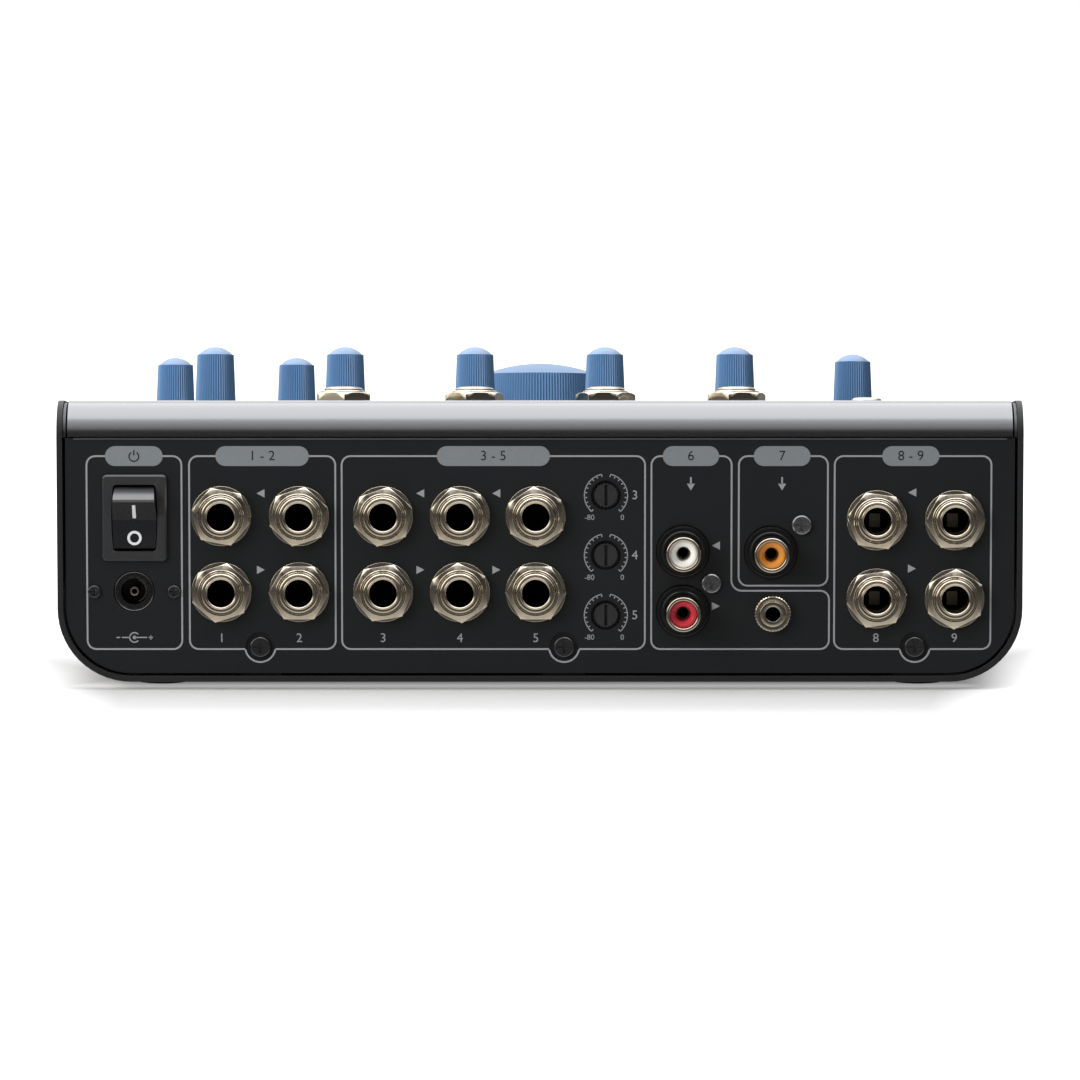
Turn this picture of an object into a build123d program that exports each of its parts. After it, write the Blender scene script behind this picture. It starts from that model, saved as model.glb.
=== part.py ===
from build123d import *
import os
from math import cos, radians, sin, tan

# Studio monitor controller: a wedge-shaped desktop box. Its cover carries knobs, buttons and the
# headphone sockets, and its rear panel carries every other socket.
# X runs across the box, +Y towards the rear panel and +Z up. The origin is on the desk, under the
# middle of the box. Lengths are in mm and angles in degrees. Heights on the rear panel are above
# the shell's underside. A share is a place across the box, in halves of its width.

os.makedirs("parts", exist_ok=True)

# ---- Case ----
body_width = 230.0
body_depth = 160.0
rear_height = 67.6  # shell's underside to the sharp corner of top and rear
top_slope = 6.0  # fall of the top towards the user
sheet = 1.4  # shell and cover
shell_corner_radius = 17.5
cover_bend_radius = 8.3
cover_side_gap = 1.2  # cheek to the cover's edge
lip_drop = 9.0  # sharp corner of top and rear to the lower edge of the rear lip
front_flange_inset = 40.0  # cover's front flange to each side of the case
front_flange_depth = 11.0
panel_thickness = 1.5
panel_recess = 0.6  # rear panel behind the shell's rear edge
panel_edge_gap = 0.6
seam_gap = 0.3
bracket_sheet = 0.8
bracket_recess = 0.6  # bracket's edge below the cover's outer face
bracket_leg = 6.0
bracket_flange = 9.0
bracket_end_gap = 14.0  # bracket's flange to each end of the case
foot_height = 2.0
foot_radius = 6.0
foot_side_inset = 24.0
foot_end_inset = 19.0
tab_width = 10.0
tab_height = 11.2

# ---- Screws ----
hole_clearance = 0.15  # radius of a hole over what passes through it
thread_clearance = 0.05
drill_length = 6.0  # longer than any sheet is thick
panel_screw_radius = 1.5
panel_screw_head_radius = 2.5
panel_screw_head_height = 0.9
panel_screw_length = 5.0
panel_screw_height = 8.3
panel_screw_shares = (0.58, -0.05, -0.777)
dimple_radius = 3.5
dimple_depth = 0.5
small_screw_radius = 1.2
small_screw_length = 5.0
dc_screw_head_radius = 1.55
dc_screw_head_height = 0.7
rca_screw_head_radius = 2.4
rca_screw_head_height = 1.2
cross_width = 0.5
cross_depth = 0.5
cross_reach = 0.65  # of the head's radius
base_screw_shares = (-0.522, 0.0, 0.522)

# ---- 6.35 mm sockets ----
socket_bore_radius = 3.25
bushing_radius = 4.7
bushing_proud = 0.6  # bushing beyond its nut
bushing_seat = 3.0  # bushing inside the moulded body
bushing_mouth_radius = 3.6
bushing_mouth_depth = 0.5
washer_radius = 7.15
washer_thickness = 0.6
nut_flats = 12.7
nut_thickness = 2.9
nut_dome_radius = 24.0  # nut's outer face is a shallow dome
nut_chamfer = 2.4
nut_chamfer_angle = 30.0
jack_body_side = 15.0
jack_body_length = 26.4
jack_body_bore_radius = 3.5
jack_body_bore_depth = 25.6
output_shares = (0.66, 0.499, 0.325, 0.166, 0.009)
output_upper_height = 39.7
output_lower_height = 21.5
output_nut_turns = (49.0, 18.5, 18.0, 0.0, 19.0, 9.0, 47.0, 34.0, 34.0, 0.0)  # column by column
input_shares = (-0.697, -0.859)
input_upper_height = 38.7
input_lower_height = 20.0
input_nut_turns = (52.0, 9.0, 2.0, 28.0)
phones_count = 4
phones_pitch_share = 0.2774
phones_distance = 37.5  # along the top from its rear corner
phones_body_depth = 11.0
phones_nut_turns = (13.0, 55.0, 14.0, 34.0)  # from the left socket as the user sees it

# ---- RCA sockets ----
rca_reach = 8.0  # sleeve beyond the rear panel
rca_sleeve_radius = 4.15
rca_sleeve_wall = 0.85
rca_lip_radius = 0.3  # round of the sleeve's outer end
rca_insulator_recess = 1.0
rca_contact_hole_radius = 1.65
rca_boss_radius = 6.2
rca_boss_height = 1.0
rca_seat = 3.0
rca_seat_radius = 3.9  # sleeve inside its boss
rca_pin_depth = 15.0  # room for the plug's pin, from the insulator's face
rca_pin_room_radius = 2.0
rca_housing_depth = 14.0
aux_share = -0.296
aux_left_height = 31.2
aux_right_height = 16.9
aux_housing_width = 18.0
aux_housing_shift = 1.4  # housing's middle from the sockets, towards its screw
aux_housing_margin = 7.2
aux_screw_shift = 6.8  # screw from the sockets
aux_screw_drop = 7.6  # screw below the upper socket
digital_share = -0.478
digital_height = 31.0
digital_housing_width = 19.0
digital_housing_length = 20.0
digital_housing_shift = 2.0  # housing's middle from the socket, towards its screw
digital_housing_rise = 3.2
digital_screw_shift = 7.3
digital_screw_rise = 6.6

# ---- 3.5 mm socket ----
mini_share = -0.482
mini_height = 16.4
mini_bore_radius = 1.8
mini_bushing_radius = 3.0
mini_bushing_proud = 0.5
mini_seat = 2.0
mini_nut_radius = 4.4
mini_nut_thickness = 2.0
mini_knurls = 34
mini_knurl_depth = 0.35
mini_body_side = 9.0
mini_body_length = 14.0
mini_body_bore_depth = 12.0

# ---- Power switch ----
power_share = 0.839
power_height = 39.3
bezel_width = 15.3
bezel_height = 20.6
bezel_thickness = 1.2
bezel_corner = 1.0
bezel_chamfer = 0.4
neck_width = 13.0
neck_height = 19.0
opening_width = 11.0  # at its middle
opening_end_width = 10.0
opening_height = 15.9
opening_corner = 0.8
power_housing_depth = 15.0
power_cavity_depth = 9.5
rocker_side_gap = 0.25
rocker_end_radius = 7.5
rocker_pivot_depth = 0.8  # behind the rear panel's outer face
rocker_rim_angle = 56.0  # from straight out to the rocker's rim
rocker_skirt_angle = 112.0
rocker_valley = 1.8  # rocker's middle above its pivot
rocker_tilt = 17.0
rocker_pin_radius = 0.9
rocker_pin_length = 0.7

# ---- DC inlet ----
dc_share = 0.841
dc_drop = 17.7  # inlet below the power switch
dc_hole_radius = 4.9
dc_nose_radius = 4.7
dc_nose_recess = 0.3
dc_bore_radius = 3.2
dc_bore_depth = 9.0
dc_pin_radius = 1.1
dc_pin_recess = 0.9
dc_screw_spacing = 19.0
dc_ear_width = 22.2
dc_ear_height = 8.0
dc_ear_thickness = 2.0
dc_body_side = 11.0
dc_body_length = 13.0

# ---- Speaker trims ----
trim_share = -0.1365
trim_upper_height = 44.6
trim_pitch = 14.35
trim_count = 3
trim_hole_radius = 3.6
trim_rotor_radius = 2.9
trim_rotor_recess = 0.4
trim_rotor_seat = 4.0
trim_slot_width = 0.7
trim_slot_depth = 1.0
trim_teeth = 22
trim_tooth_gap = 0.4
trim_tooth_height = 1.2
trim_body_side = 9.5
trim_body_depth = 7.0

# ---- Knobs ----
shaft_radius = 3.0
shaft_clearance = 0.05
shaft_hole_radius = 3.6
knob_gap = 0.6  # knob's foot above the cover
knob_foot_radius = 5.0
knob_rim_radius = 4.5
knob_height = 14.6  # above the cover
knob_dome = 1.9
knob_ribs = 50
knob_rib_depth = 0.3
knob_bore_depth = 9.0
pointer_width = 0.8
pointer_depth = 0.35
pointer_end = 0.6  # pointer's outer end above the cap's rim
main_knob_foot_radius = 15.0
main_knob_rim_radius = 14.6
main_knob_height = 12.5
main_knob_dome = 2.7
main_knob_ribs = 126
main_knob_bore_depth = 8.0
knob_rest_turn = 150.0  # pointer's lowest position, from straight back
knob_row_distance = 57.5
knob_pitch_share = 0.2783
main_knob_setback = 45.0  # along the top from its front corner
talkback_share = -0.6913
talkback_knob_setback = 54.0
input_knob_shares = (0.546, 0.818)
input_knob_setback = 29.5

# ---- Buttons, meter and microphone ----
button_width = 9.0
button_length = 6.0
button_corner = 1.0
button_edge_radius = 0.3
button_proud = 1.2
button_gap = 0.25
button_flange = 0.8  # flange's thickness and its reach beyond the cap
button_travel = 0.8
button_stem_radius = 1.5
button_stem_seat = 1.0
button_columns_per_side = 3
button_pitch = 14.0
button_knob_gap = 13.0  # nearest column's middle to the main knob's foot
source_row_setback = 60.0
mute_row_setback = 32.0
meter_width = 60.0
meter_length = 9.0
meter_share = 0.4824  # of the way from the knob row to the source buttons
meter_proud = 0.3
meter_rim = 1.2
meter_depth = 2.6
grille_share = -0.6957
grille_distance = 46.0
grille_radius = 3.7
grille_proud = 1.7
grille_neck_radius = 3.0
grille_neck_length = 4.0
grille_edge_radius = 0.85

# ---- Boards ----
board_thickness = 1.6
pot_gap = 0.6  # potentiometer's top under the cover
pot_side = 11.0
pot_height = 6.5
pot_shaft_seat = 4.5
key_switch_side = 6.0
key_switch_height = 4.0
control_board_side_gap = 13.0  # to the side of the case
control_board_setback = 10.0
standoff_radius = 2.5
outer_standoff_share = 0.826
inner_standoff_share = 0.261
inner_standoff_distance = 68.0
left_standoff_distance = 62.0
left_standoff_setback = 18.0
right_standoff_distance = 80.0
right_standoff_setback = 14.0
rear_board_side_gap = 11.0
rear_board_low = 10.0
rear_board_drop = 32.8  # sharp corner of top and rear to the board's upper edge
ribbon_width = 24.0
ribbon_thickness = 1.0
ribbon_share = 0.348
ribbon_bend_radius = 4.0
ribbon_run = 24.0  # from the rear board to the ribbon's upright part
ribbon_height = 24.0

# ---- Worked out from the sizes above ----
half_width = body_width / 2
overall_depth = body_depth - panel_recess + rca_reach
front_y = -overall_depth / 2
rear_y = front_y + body_depth
panel_y = rear_y - panel_recess
panel_back_y = panel_y - panel_thickness
base_z = foot_height
floor_z = base_z + sheet
slope = radians(top_slope)
lip_height = rear_height - lip_drop
base_screw_y = front_y + sheet + (front_flange_depth - sheet) / 2
nut_top = washer_thickness + nut_thickness
board_top = -sheet - pot_gap - pot_height  # control board's upper face under the cover's outer face
rear_board_high = rear_height - rear_board_drop

panel_screw_xs = [share * half_width for share in panel_screw_shares]
base_screw_xs = [share * half_width for share in base_screw_shares]
output_heights = (output_upper_height, output_lower_height)
output_places = [(share * half_width, height) for share in output_shares for height in output_heights]
input_heights = (input_upper_height, input_lower_height)
input_places = [(share * half_width, height) for share in input_shares for height in input_heights]
phones_pitch = phones_pitch_share * half_width
phones_xs = [phones_pitch * (index - (phones_count - 1) / 2) for index in range(phones_count)]
aux_x = aux_share * half_width
digital_x = digital_share * half_width
mini_x = mini_share * half_width
rca_screw_places = [
    (aux_x - aux_screw_shift, aux_left_height - aux_screw_drop),
    (digital_x - digital_screw_shift, digital_height + digital_screw_rise),
]
power_x = power_share * half_width
dc_x = dc_share * half_width
dc_height = power_height - dc_drop
dc_screw_xs = (dc_x - dc_screw_spacing / 2, dc_x + dc_screw_spacing / 2)
trim_x = trim_share * half_width
trim_heights = [trim_upper_height - trim_pitch * index for index in range(trim_count)]

# Places on the top: across the box, and along the top from its rear corner.
knob_pitch = knob_pitch_share * half_width
row_start = -knob_pitch * (phones_count - 1) / 2
knob_row = [(row_start + knob_pitch * index, knob_row_distance) for index in range(phones_count + 1)]
talkback_x = talkback_share * half_width
input_knob_row = body_depth - input_knob_setback
small_knob_places = {
    "phones_knob_1": knob_row[0],
    "phones_knob_2": knob_row[1],
    "phones_knob_3": knob_row[2],
    "phones_knob_4": knob_row[3],
    "cue_knob": knob_row[4],
    "talkback_knob": (talkback_x, body_depth - talkback_knob_setback),
    "input_knob_1": (input_knob_shares[0] * half_width, input_knob_row),
    "input_knob_2": (input_knob_shares[1] * half_width, input_knob_row),
}
main_knob_place = (0.0, body_depth - main_knob_setback)
source_row = body_depth - source_row_setback
mute_row = body_depth - mute_row_setback
first_column = main_knob_foot_radius + button_knob_gap
button_columns = [first_column + button_pitch * index for index in range(button_columns_per_side)]
button_places = {"talkback_button": (talkback_x, mute_row)}
for index, x in enumerate(button_columns):
    button_places[f"source_button_{index + 1}"] = (x, source_row)
for index, x in enumerate(reversed(button_columns)):
    button_places[f"speaker_button_{index + 1}"] = (-x, source_row)
for name, x in zip(("mono_button", "dim_button", "mute_button"), reversed(button_columns)):
    button_places[name] = (-x, mute_row)
meter_place = (0.0, knob_row_distance + meter_share * (source_row - knob_row_distance))
grille_place = (grille_share * half_width, grille_distance)
outer_standoff_x = outer_standoff_share * half_width
inner_standoff_x = inner_standoff_share * half_width
standoff_places = (
    (-outer_standoff_x, left_standoff_distance),
    (-outer_standoff_x, body_depth - left_standoff_setback),
    (outer_standoff_x, right_standoff_distance),
    (outer_standoff_x, body_depth - right_standoff_setback),
    (-inner_standoff_x, inner_standoff_distance),
    (inner_standoff_x, inner_standoff_distance),
)

# Local Z of both faces points out of the box. On the rear face, local Y is up.
rear_face = Plane(origin=(0, panel_y, base_z), x_dir=(-1, 0, 0), z_dir=(0, 1, 0))
upwards = (0, -sin(slope), cos(slope))
top_face = Plane(origin=(0, rear_y, base_z + rear_height), x_dir=(1, 0, 0), z_dir=upwards)


def on_rear(x, height, out=0.0):
    """Place on the rear panel's outer face, at a height above the shell's underside."""
    return rear_face.location * Pos(-x, height, out)


def on_top(x, distance, out=0.0):
    """Place on the cover's outer face, at a distance along it from its rear corner."""
    return top_face.location * Pos(x, -distance, out)


def rod(radius, length):
    """Round bar that stands on Z 0."""
    return Cylinder(radius, length, align=(Align.CENTER, Align.CENTER, Align.MIN))


def tube(radius, bore, length):
    """Round tube that stands on Z 0."""
    return rod(radius, length) - rod(bore, length)


def drill(radius):
    """Round hole's cutter through any sheet, centred on Z 0."""
    return Cylinder(radius, drill_length)


def block(width, depth, height):
    """Box that stands on Z 0."""
    return Box(width, depth, height, align=(Align.CENTER, Align.CENTER, Align.MIN))


def save(node, *pieces):
    """Write one node's solids to its STEP file."""
    solids = [solid for piece in pieces for solid in piece.solids()]
    shape = solids[0] if len(solids) == 1 else Compound(children=solids)
    shape.label = node
    export_step(shape, f"parts/{node}.step")


def case_outline(inset):
    """Outline across the case, open upwards: upright sides and rounded lower corners."""
    half = half_width - inset
    low = base_z + inset
    high = base_z + rear_height + sheet
    corners = ((-half, low), (half, low), (half, high), (-half, high))
    outline = make_face(Polyline(*corners, close=True))
    return fillet(outline.vertices().sort_by(Axis.Y)[:2], shell_corner_radius - inset)


def side_outline(inset):
    """Outline along the case: level bottom, upright ends and the sloping top with its two bends."""
    front = front_y + inset
    rear = rear_y - inset
    low = base_z + inset
    rear_top = base_z + rear_height - inset * tan(slope) - inset / cos(slope)
    front_top = rear_top - (rear - front) * tan(slope)
    corners = ((front, low), (rear, low), (rear, rear_top), (front, front_top))
    outline = make_face(Polyline(*corners, close=True))
    return fillet(outline.vertices().sort_by(Axis.Y)[-2:], cover_bend_radius - inset)


def prism_along_y(outline, rear, length):
    """Prism of an outline drawn in X and Z, from its rear face forwards."""
    return extrude(Plane(origin=(0, rear, 0), x_dir=(1, 0, 0), z_dir=(0, -1, 0)) * outline, length)


def prism_along_x(outline, width):
    """Prism of an outline drawn in Y and Z, centred on X 0."""
    return extrude(Plane.YZ * outline, width / 2, both=True)


def screw(radius, length, head_radius, head_height):
    """Pan-head screw with a cross recess. Its head stands on Z 0 and its shank goes down."""
    head = fillet(rod(head_radius, head_height).edges().sort_by(Axis.Z)[-1], head_height / 2)
    shank = Pos(0, 0, -length) * rod(radius, length)
    slot = block(2 * cross_reach * head_radius, cross_width, cross_depth)
    slot = Pos(0, 0, head_height - cross_depth) * slot
    return head + shank - slot - Rot(0, 0, 90) * slot


def make_bottom_shell():
    """Floor and both cheeks in one bent sheet, with tabs behind the rear panel."""
    shell = prism_along_y(case_outline(0) - case_outline(sheet), rear_y, body_depth)
    shell &= prism_along_x(side_outline(0), body_width)
    for x in panel_screw_xs:
        shell += Pos(x, panel_back_y - sheet / 2, base_z + sheet / 2) * block(tab_width, sheet, tab_height)
    thread = drill(panel_screw_radius + thread_clearance)
    for x in panel_screw_xs:
        shell -= on_rear(x, panel_screw_height, -panel_thickness) * thread
    for x in base_screw_xs:
        shell -= Pos(x, base_screw_y, base_z) * drill(panel_screw_radius + hole_clearance)
    return shell


def make_top_cover():
    """Bent sheet between the cheeks: rear lip, sloping top, and a front with a flange on the floor."""
    cover = prism_along_x(side_outline(0) - side_outline(sheet), body_width)
    cover &= prism_along_y(case_outline(sheet + cover_side_gap), rear_y, body_depth)
    below_lip = block(body_width, 2 * cover_bend_radius, lip_height)
    cover -= Pos(0, rear_y, base_z) * below_lip
    flange_width = body_width - 2 * front_flange_inset
    apron_foot = block(flange_width, sheet, cover_side_gap + sheet)
    cover += Pos(0, front_y + sheet / 2, floor_z) * apron_foot
    flange = block(flange_width, front_flange_depth, sheet)
    cover += Pos(0, front_y + front_flange_depth / 2, floor_z) * flange
    for x in base_screw_xs:
        cover -= Pos(x, base_screw_y, floor_z) * drill(panel_screw_radius + thread_clearance)
    for x in phones_xs:
        cover -= on_top(x, phones_distance) * drill(bushing_radius + hole_clearance)
    for place in (*small_knob_places.values(), main_knob_place):
        cover -= on_top(*place) * drill(shaft_hole_radius)
    cover -= on_top(*grille_place) * drill(grille_neck_radius)
    cover -= on_top(*meter_place, -drill_length / 2) * block(meter_width, meter_length, drill_length)
    window = button_block(button_gap, drill_length)
    for place in button_places.values():
        cover -= on_top(*place, -drill_length / 2) * window
    return cover


def button_block(margin, height):
    """Button-shaped block that stands on Z 0, larger than a button's cap by a margin all round."""
    width = button_width + 2 * margin
    length = button_length + 2 * margin
    return extrude(RectangleRounded(width, length, button_corner + margin), height)


def make_side_bracket():
    """Angle strip under the cover's left or right edge: its leg stands in the gap beside the cover."""
    leg = prism_along_x(side_outline(bracket_recess), body_width)
    leg -= prism_along_x(side_outline(bracket_recess + bracket_leg), body_width)
    flange = prism_along_x(side_outline(sheet), body_width)
    flange -= prism_along_x(side_outline(sheet + bracket_sheet), body_width)
    outer_x = half_width - sheet
    above_lip = lip_height - rear_height
    leg_room = block(bracket_sheet, 2 * body_depth, rear_height)
    leg &= on_top(outer_x - bracket_sheet / 2, body_depth / 2, above_lip) * leg_room
    flange_room = block(bracket_flange, body_depth - 2 * bracket_end_gap, rear_height)
    flange &= on_top(outer_x - bracket_flange / 2, body_depth / 2, above_lip) * flange_room
    return leg + flange


def make_rear_panel():
    """Flat plate inside the shell's rear edge, with every socket's hole."""
    inset = sheet + panel_edge_gap
    panel = prism_along_y(case_outline(inset), panel_y, panel_thickness)
    above_seam = block(body_width, drill_length, rear_height)
    panel -= Pos(0, panel_y, base_z + lip_height - seam_gap) * above_seam
    holes = [(x, v, bushing_radius + hole_clearance) for x, v in output_places + input_places]
    holes += [(aux_x, v, rca_boss_radius + hole_clearance) for v in (aux_left_height, aux_right_height)]
    holes += [(digital_x, digital_height, rca_boss_radius + hole_clearance)]
    holes += [(mini_x, mini_height, mini_bushing_radius + hole_clearance)]
    holes += [(dc_x, dc_height, dc_hole_radius)]
    holes += [(trim_x, v, trim_hole_radius) for v in trim_heights]
    holes += [(x, panel_screw_height, panel_screw_radius + hole_clearance) for x in panel_screw_xs]
    holes += [(x, dc_height, small_screw_radius + hole_clearance) for x in dc_screw_xs]
    holes += [(*place, small_screw_radius + hole_clearance) for place in rca_screw_places]
    for x, v, radius in holes:
        panel -= on_rear(x, v) * drill(radius)
    for x in panel_screw_xs:
        panel -= on_rear(x, panel_screw_height, -dimple_depth) * rod(dimple_radius, drill_length)
    neck = block(neck_width + 2 * hole_clearance, neck_height + 2 * hole_clearance, drill_length)
    return panel - on_rear(power_x, power_height, -drill_length / 2) * neck


def make_nut():
    """Hexagon nut, domed on its outer face and chamfered at its corners."""
    corner_radius = nut_flats / 2 / cos(radians(30))
    turned = rod(corner_radius, nut_thickness)
    chamfer_drop = nut_chamfer * tan(radians(nut_chamfer_angle))
    turned = chamfer(turned.edges().sort_by(Axis.Z)[-1], chamfer_drop, nut_chamfer)
    turned &= Pos(0, 0, nut_thickness - nut_dome_radius) * Sphere(nut_dome_radius)
    hexagon = extrude(RegularPolygon(corner_radius, 6), nut_thickness)
    return (hexagon & turned) - rod(bushing_radius + thread_clearance, nut_thickness)


def make_bushing(panel):
    """Threaded bushing of a 6.35 mm socket, through a panel of the given thickness."""
    length = bushing_seat + panel + nut_top + bushing_proud
    bushing = chamfer(rod(bushing_radius, length).edges().sort_by(Axis.Z)[-1], bushing_mouth_depth)
    bushing -= rod(socket_bore_radius, length)
    mouth = Cone(socket_bore_radius, bushing_mouth_radius, bushing_mouth_depth)
    return bushing - Pos(0, 0, length - bushing_mouth_depth / 2) * mouth


def make_jack_body(depth):
    """Moulded body of a 6.35 mm socket. Its front is on Z 0 and it goes down."""
    body = Pos(0, 0, -jack_body_length) * block(jack_body_side, depth, jack_body_length)
    body -= Pos(0, 0, -jack_body_bore_depth) * rod(jack_body_bore_radius, jack_body_bore_depth)
    return body - Pos(0, 0, -bushing_seat) * rod(bushing_radius, bushing_seat)


def make_knob(foot_radius, rim_radius, height, dome, ribs, bore_depth):
    """Ribbed knob on its shaft's end: a tapered grip, a domed top and a pointer groove. Foot on Z 0."""
    rim = height - knob_gap - dome
    outlines = []
    for radius, z in ((foot_radius, 0.0), (rim_radius, rim)):
        points = []
        for index in range(2 * ribs):
            reach = radius - knob_rib_depth * (index % 2)
            angle = radians(180 * index / ribs)
            points.append((reach * cos(angle), reach * sin(angle), z))
        outlines.append(make_face(Polyline(*points, close=True)))
    grip = loft(outlines, ruled=True)
    cap_radius = rim_radius - knob_rib_depth
    sphere_radius = (cap_radius**2 + dome**2) / (2 * dome)
    cap = Pos(0, 0, rim + dome - sphere_radius) * Sphere(sphere_radius)
    cap &= Pos(0, 0, rim) * rod(cap_radius, dome + knob_gap)
    pointer = Pos(0, cap_radius / 2, rim + pointer_end) * block(pointer_width, cap_radius, dome)
    shallow = Pos(0, 0, rim + dome - sphere_radius) * Sphere(sphere_radius - pointer_depth)
    return grip + (cap - (pointer - shallow)) - rod(shaft_radius, bore_depth)


def make_shaft(bore_depth):
    """Potentiometer's shaft, from its body to the end of the knob's bore."""
    low = -sheet - pot_gap - pot_shaft_seat
    return Pos(0, 0, low) * rod(shaft_radius, knob_gap + bore_depth - low)


def make_pot_body(side, height, seat, radius):
    """Potentiometer's body. Its top is on Z 0, and its shaft turns in the hole."""
    body = Pos(0, 0, -height) * block(side, side, height)
    return body - Pos(0, 0, -seat - shaft_clearance) * rod(radius + shaft_clearance, seat + shaft_clearance)


def make_button():
    """Button's cap, its flange under the cover, and its stem down to the key switch. Cover's face on Z 0."""
    cap = Pos(0, 0, -sheet) * button_block(0, sheet + button_proud)
    cap = fillet(cap.edges().group_by(Axis.Z)[-1], button_edge_radius)
    flange = Pos(0, 0, -sheet - button_flange) * button_block(button_flange, button_flange)
    low = board_top + key_switch_height - button_stem_seat
    stem = Pos(0, 0, low) * rod(button_stem_radius, -sheet - low)
    return cap + flange + stem


def make_key_switch():
    """Key switch on the control board: its well takes the button's stem. Board's face on Z 0."""
    well = button_stem_seat + 2 * button_travel
    switch = block(key_switch_side, key_switch_side, key_switch_height)
    return switch - Pos(0, 0, key_switch_height - well) * rod(button_stem_radius + shaft_clearance, well)


def make_rca_sleeve():
    """Outer contact of an RCA socket. Rear panel's face on Z 0."""
    sleeve = Pos(0, 0, -rca_seat) * rod(rca_seat_radius, rca_seat + rca_boss_height)
    sleeve += Pos(0, 0, rca_boss_height) * rod(rca_sleeve_radius, rca_reach - rca_boss_height)
    sleeve -= Pos(0, 0, -rca_seat) * rod(rca_sleeve_radius - rca_sleeve_wall, rca_seat + rca_reach)
    return fillet(sleeve.edges().group_by(Axis.Z)[-1], rca_lip_radius)


def make_rca_insulator():
    """Coloured ring inside an RCA socket's sleeve."""
    length = rca_seat + rca_reach - rca_insulator_recess
    return Pos(0, 0, -rca_seat) * tube(rca_sleeve_radius - rca_sleeve_wall, rca_contact_hole_radius, length)


def make_rca_housing(width, length, shift, sockets, screw_place):
    """Moulded RCA housing behind the rear panel, with round bosses through it. First socket on X 0, Y 0."""
    housing = Pos(*shift, -panel_thickness - rca_housing_depth) * block(width, length, rca_housing_depth)
    boss = rod(rca_boss_radius, panel_thickness + rca_boss_height)
    seat = rod(rca_seat_radius, rca_seat + rca_boss_height)
    pin_depth = rca_pin_depth - rca_reach + rca_insulator_recess
    pin_room = rod(rca_pin_room_radius, pin_depth)
    for place in sockets:
        housing += Pos(*place, -panel_thickness) * boss
    for place in sockets:
        housing -= Pos(*place, -rca_seat) * seat
        housing -= Pos(*place, -pin_depth) * pin_room
    thread = rod(small_screw_radius + thread_clearance, small_screw_length)
    return housing - Pos(*screw_place, -small_screw_length - thread_clearance) * thread


def make_mini_nut():
    """Round knurled nut of the 3.5 mm socket."""
    nut = chamfer(rod(mini_nut_radius, mini_nut_thickness).edges().sort_by(Axis.Z)[-1], mini_knurl_depth)
    groove = Rot(0, 0, 45) * block(mini_knurl_depth, mini_knurl_depth, mini_nut_thickness)
    groove = Pos(mini_nut_radius, 0, 0) * groove
    for index in range(mini_knurls):
        nut -= Rot(0, 0, index * 360 / mini_knurls) * groove
    return nut - rod(mini_bushing_radius + thread_clearance, mini_nut_thickness)


def make_dc_body():
    """DC inlet: a moulded body with a nose in the panel's hole and two ears behind the panel."""
    ears = block(dc_ear_width, dc_ear_height, dc_ear_thickness)
    body = Pos(0, 0, -panel_thickness - dc_body_length) * block(dc_body_side, dc_body_side, dc_body_length)
    body += Pos(0, 0, -panel_thickness - dc_ear_thickness) * ears
    body += Pos(0, 0, -panel_thickness) * rod(dc_nose_radius, panel_thickness - dc_nose_recess)
    body -= Pos(0, 0, -dc_nose_recess - dc_bore_depth) * rod(dc_bore_radius, dc_bore_depth)
    for side in (-1, 1):
        thread = rod(small_screw_radius + thread_clearance, small_screw_length)
        body -= Pos(side * dc_screw_spacing / 2, 0, -small_screw_length - thread_clearance) * thread
    return body


def barrel(inset):
    """Switch opening's outline, with bowed sides, the inset less all round."""
    ends = []
    for side in (-1, 1):
        x = side * (opening_end_width / 2 - inset)
        y = opening_height / 2 - inset
        ends.append(((x, -y), (side * (opening_width / 2 - inset), 0), (x, y)))
    left, right = ends
    outline = ThreePointArc(*left) + ThreePointArc(*right) + Line(left[0], right[0]) + Line(left[2], right[2])
    face = make_face(outline)
    return fillet(face.vertices(), opening_corner)


def make_power_frame():
    """Power switch: a bezel on the rear panel and a housing behind it, open for the rocker."""
    bezel = extrude(RectangleRounded(bezel_width, bezel_height, bezel_corner), bezel_thickness)
    bezel = chamfer(bezel.edges().group_by(Axis.Z)[-1], bezel_chamfer)
    frame = bezel + Pos(0, 0, -power_housing_depth) * block(neck_width, neck_height, power_housing_depth)
    cavity = extrude(barrel(0), power_cavity_depth + bezel_thickness)
    frame -= Pos(0, 0, -power_cavity_depth) * cavity
    pin_reach = opening_width / 2 + rocker_pin_length
    pin_hole = Rot(0, 90, 0) * Cylinder(rocker_pin_radius + shaft_clearance, 2 * pin_reach)
    return frame - Pos(0, 0, -rocker_pivot_depth) * pin_hole


def make_rocker():
    """Rocker, level: a shallow V between two rims, round ends about its pivot, and two pivot pins."""
    def rim(side, angle):
        return (side * rocker_end_radius * sin(radians(angle)), rocker_end_radius * cos(radians(angle)))

    middle_angle = (rocker_rim_angle + rocker_skirt_angle) / 2
    top = Polyline(rim(-1, rocker_rim_angle), (0, rocker_valley), rim(1, rocker_rim_angle))
    right = ThreePointArc(rim(1, rocker_rim_angle), rim(1, middle_angle), rim(1, rocker_skirt_angle))
    bottom = Line(rim(1, rocker_skirt_angle), rim(-1, rocker_skirt_angle))
    left = ThreePointArc(rim(-1, rocker_skirt_angle), rim(-1, middle_angle), rim(-1, rocker_rim_angle))
    outline = make_face(top + right + bottom + left)
    rocker = extrude(Plane.YZ * outline, opening_width / 2, both=True)
    rocker &= Pos(0, 0, -rocker_end_radius) * extrude(barrel(rocker_side_gap), 2 * rocker_end_radius)
    pin_span = opening_width + 2 * rocker_pin_length - rocker_side_gap
    return rocker + Rot(0, 90, 0) * Cylinder(rocker_pin_radius, pin_span)


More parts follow.
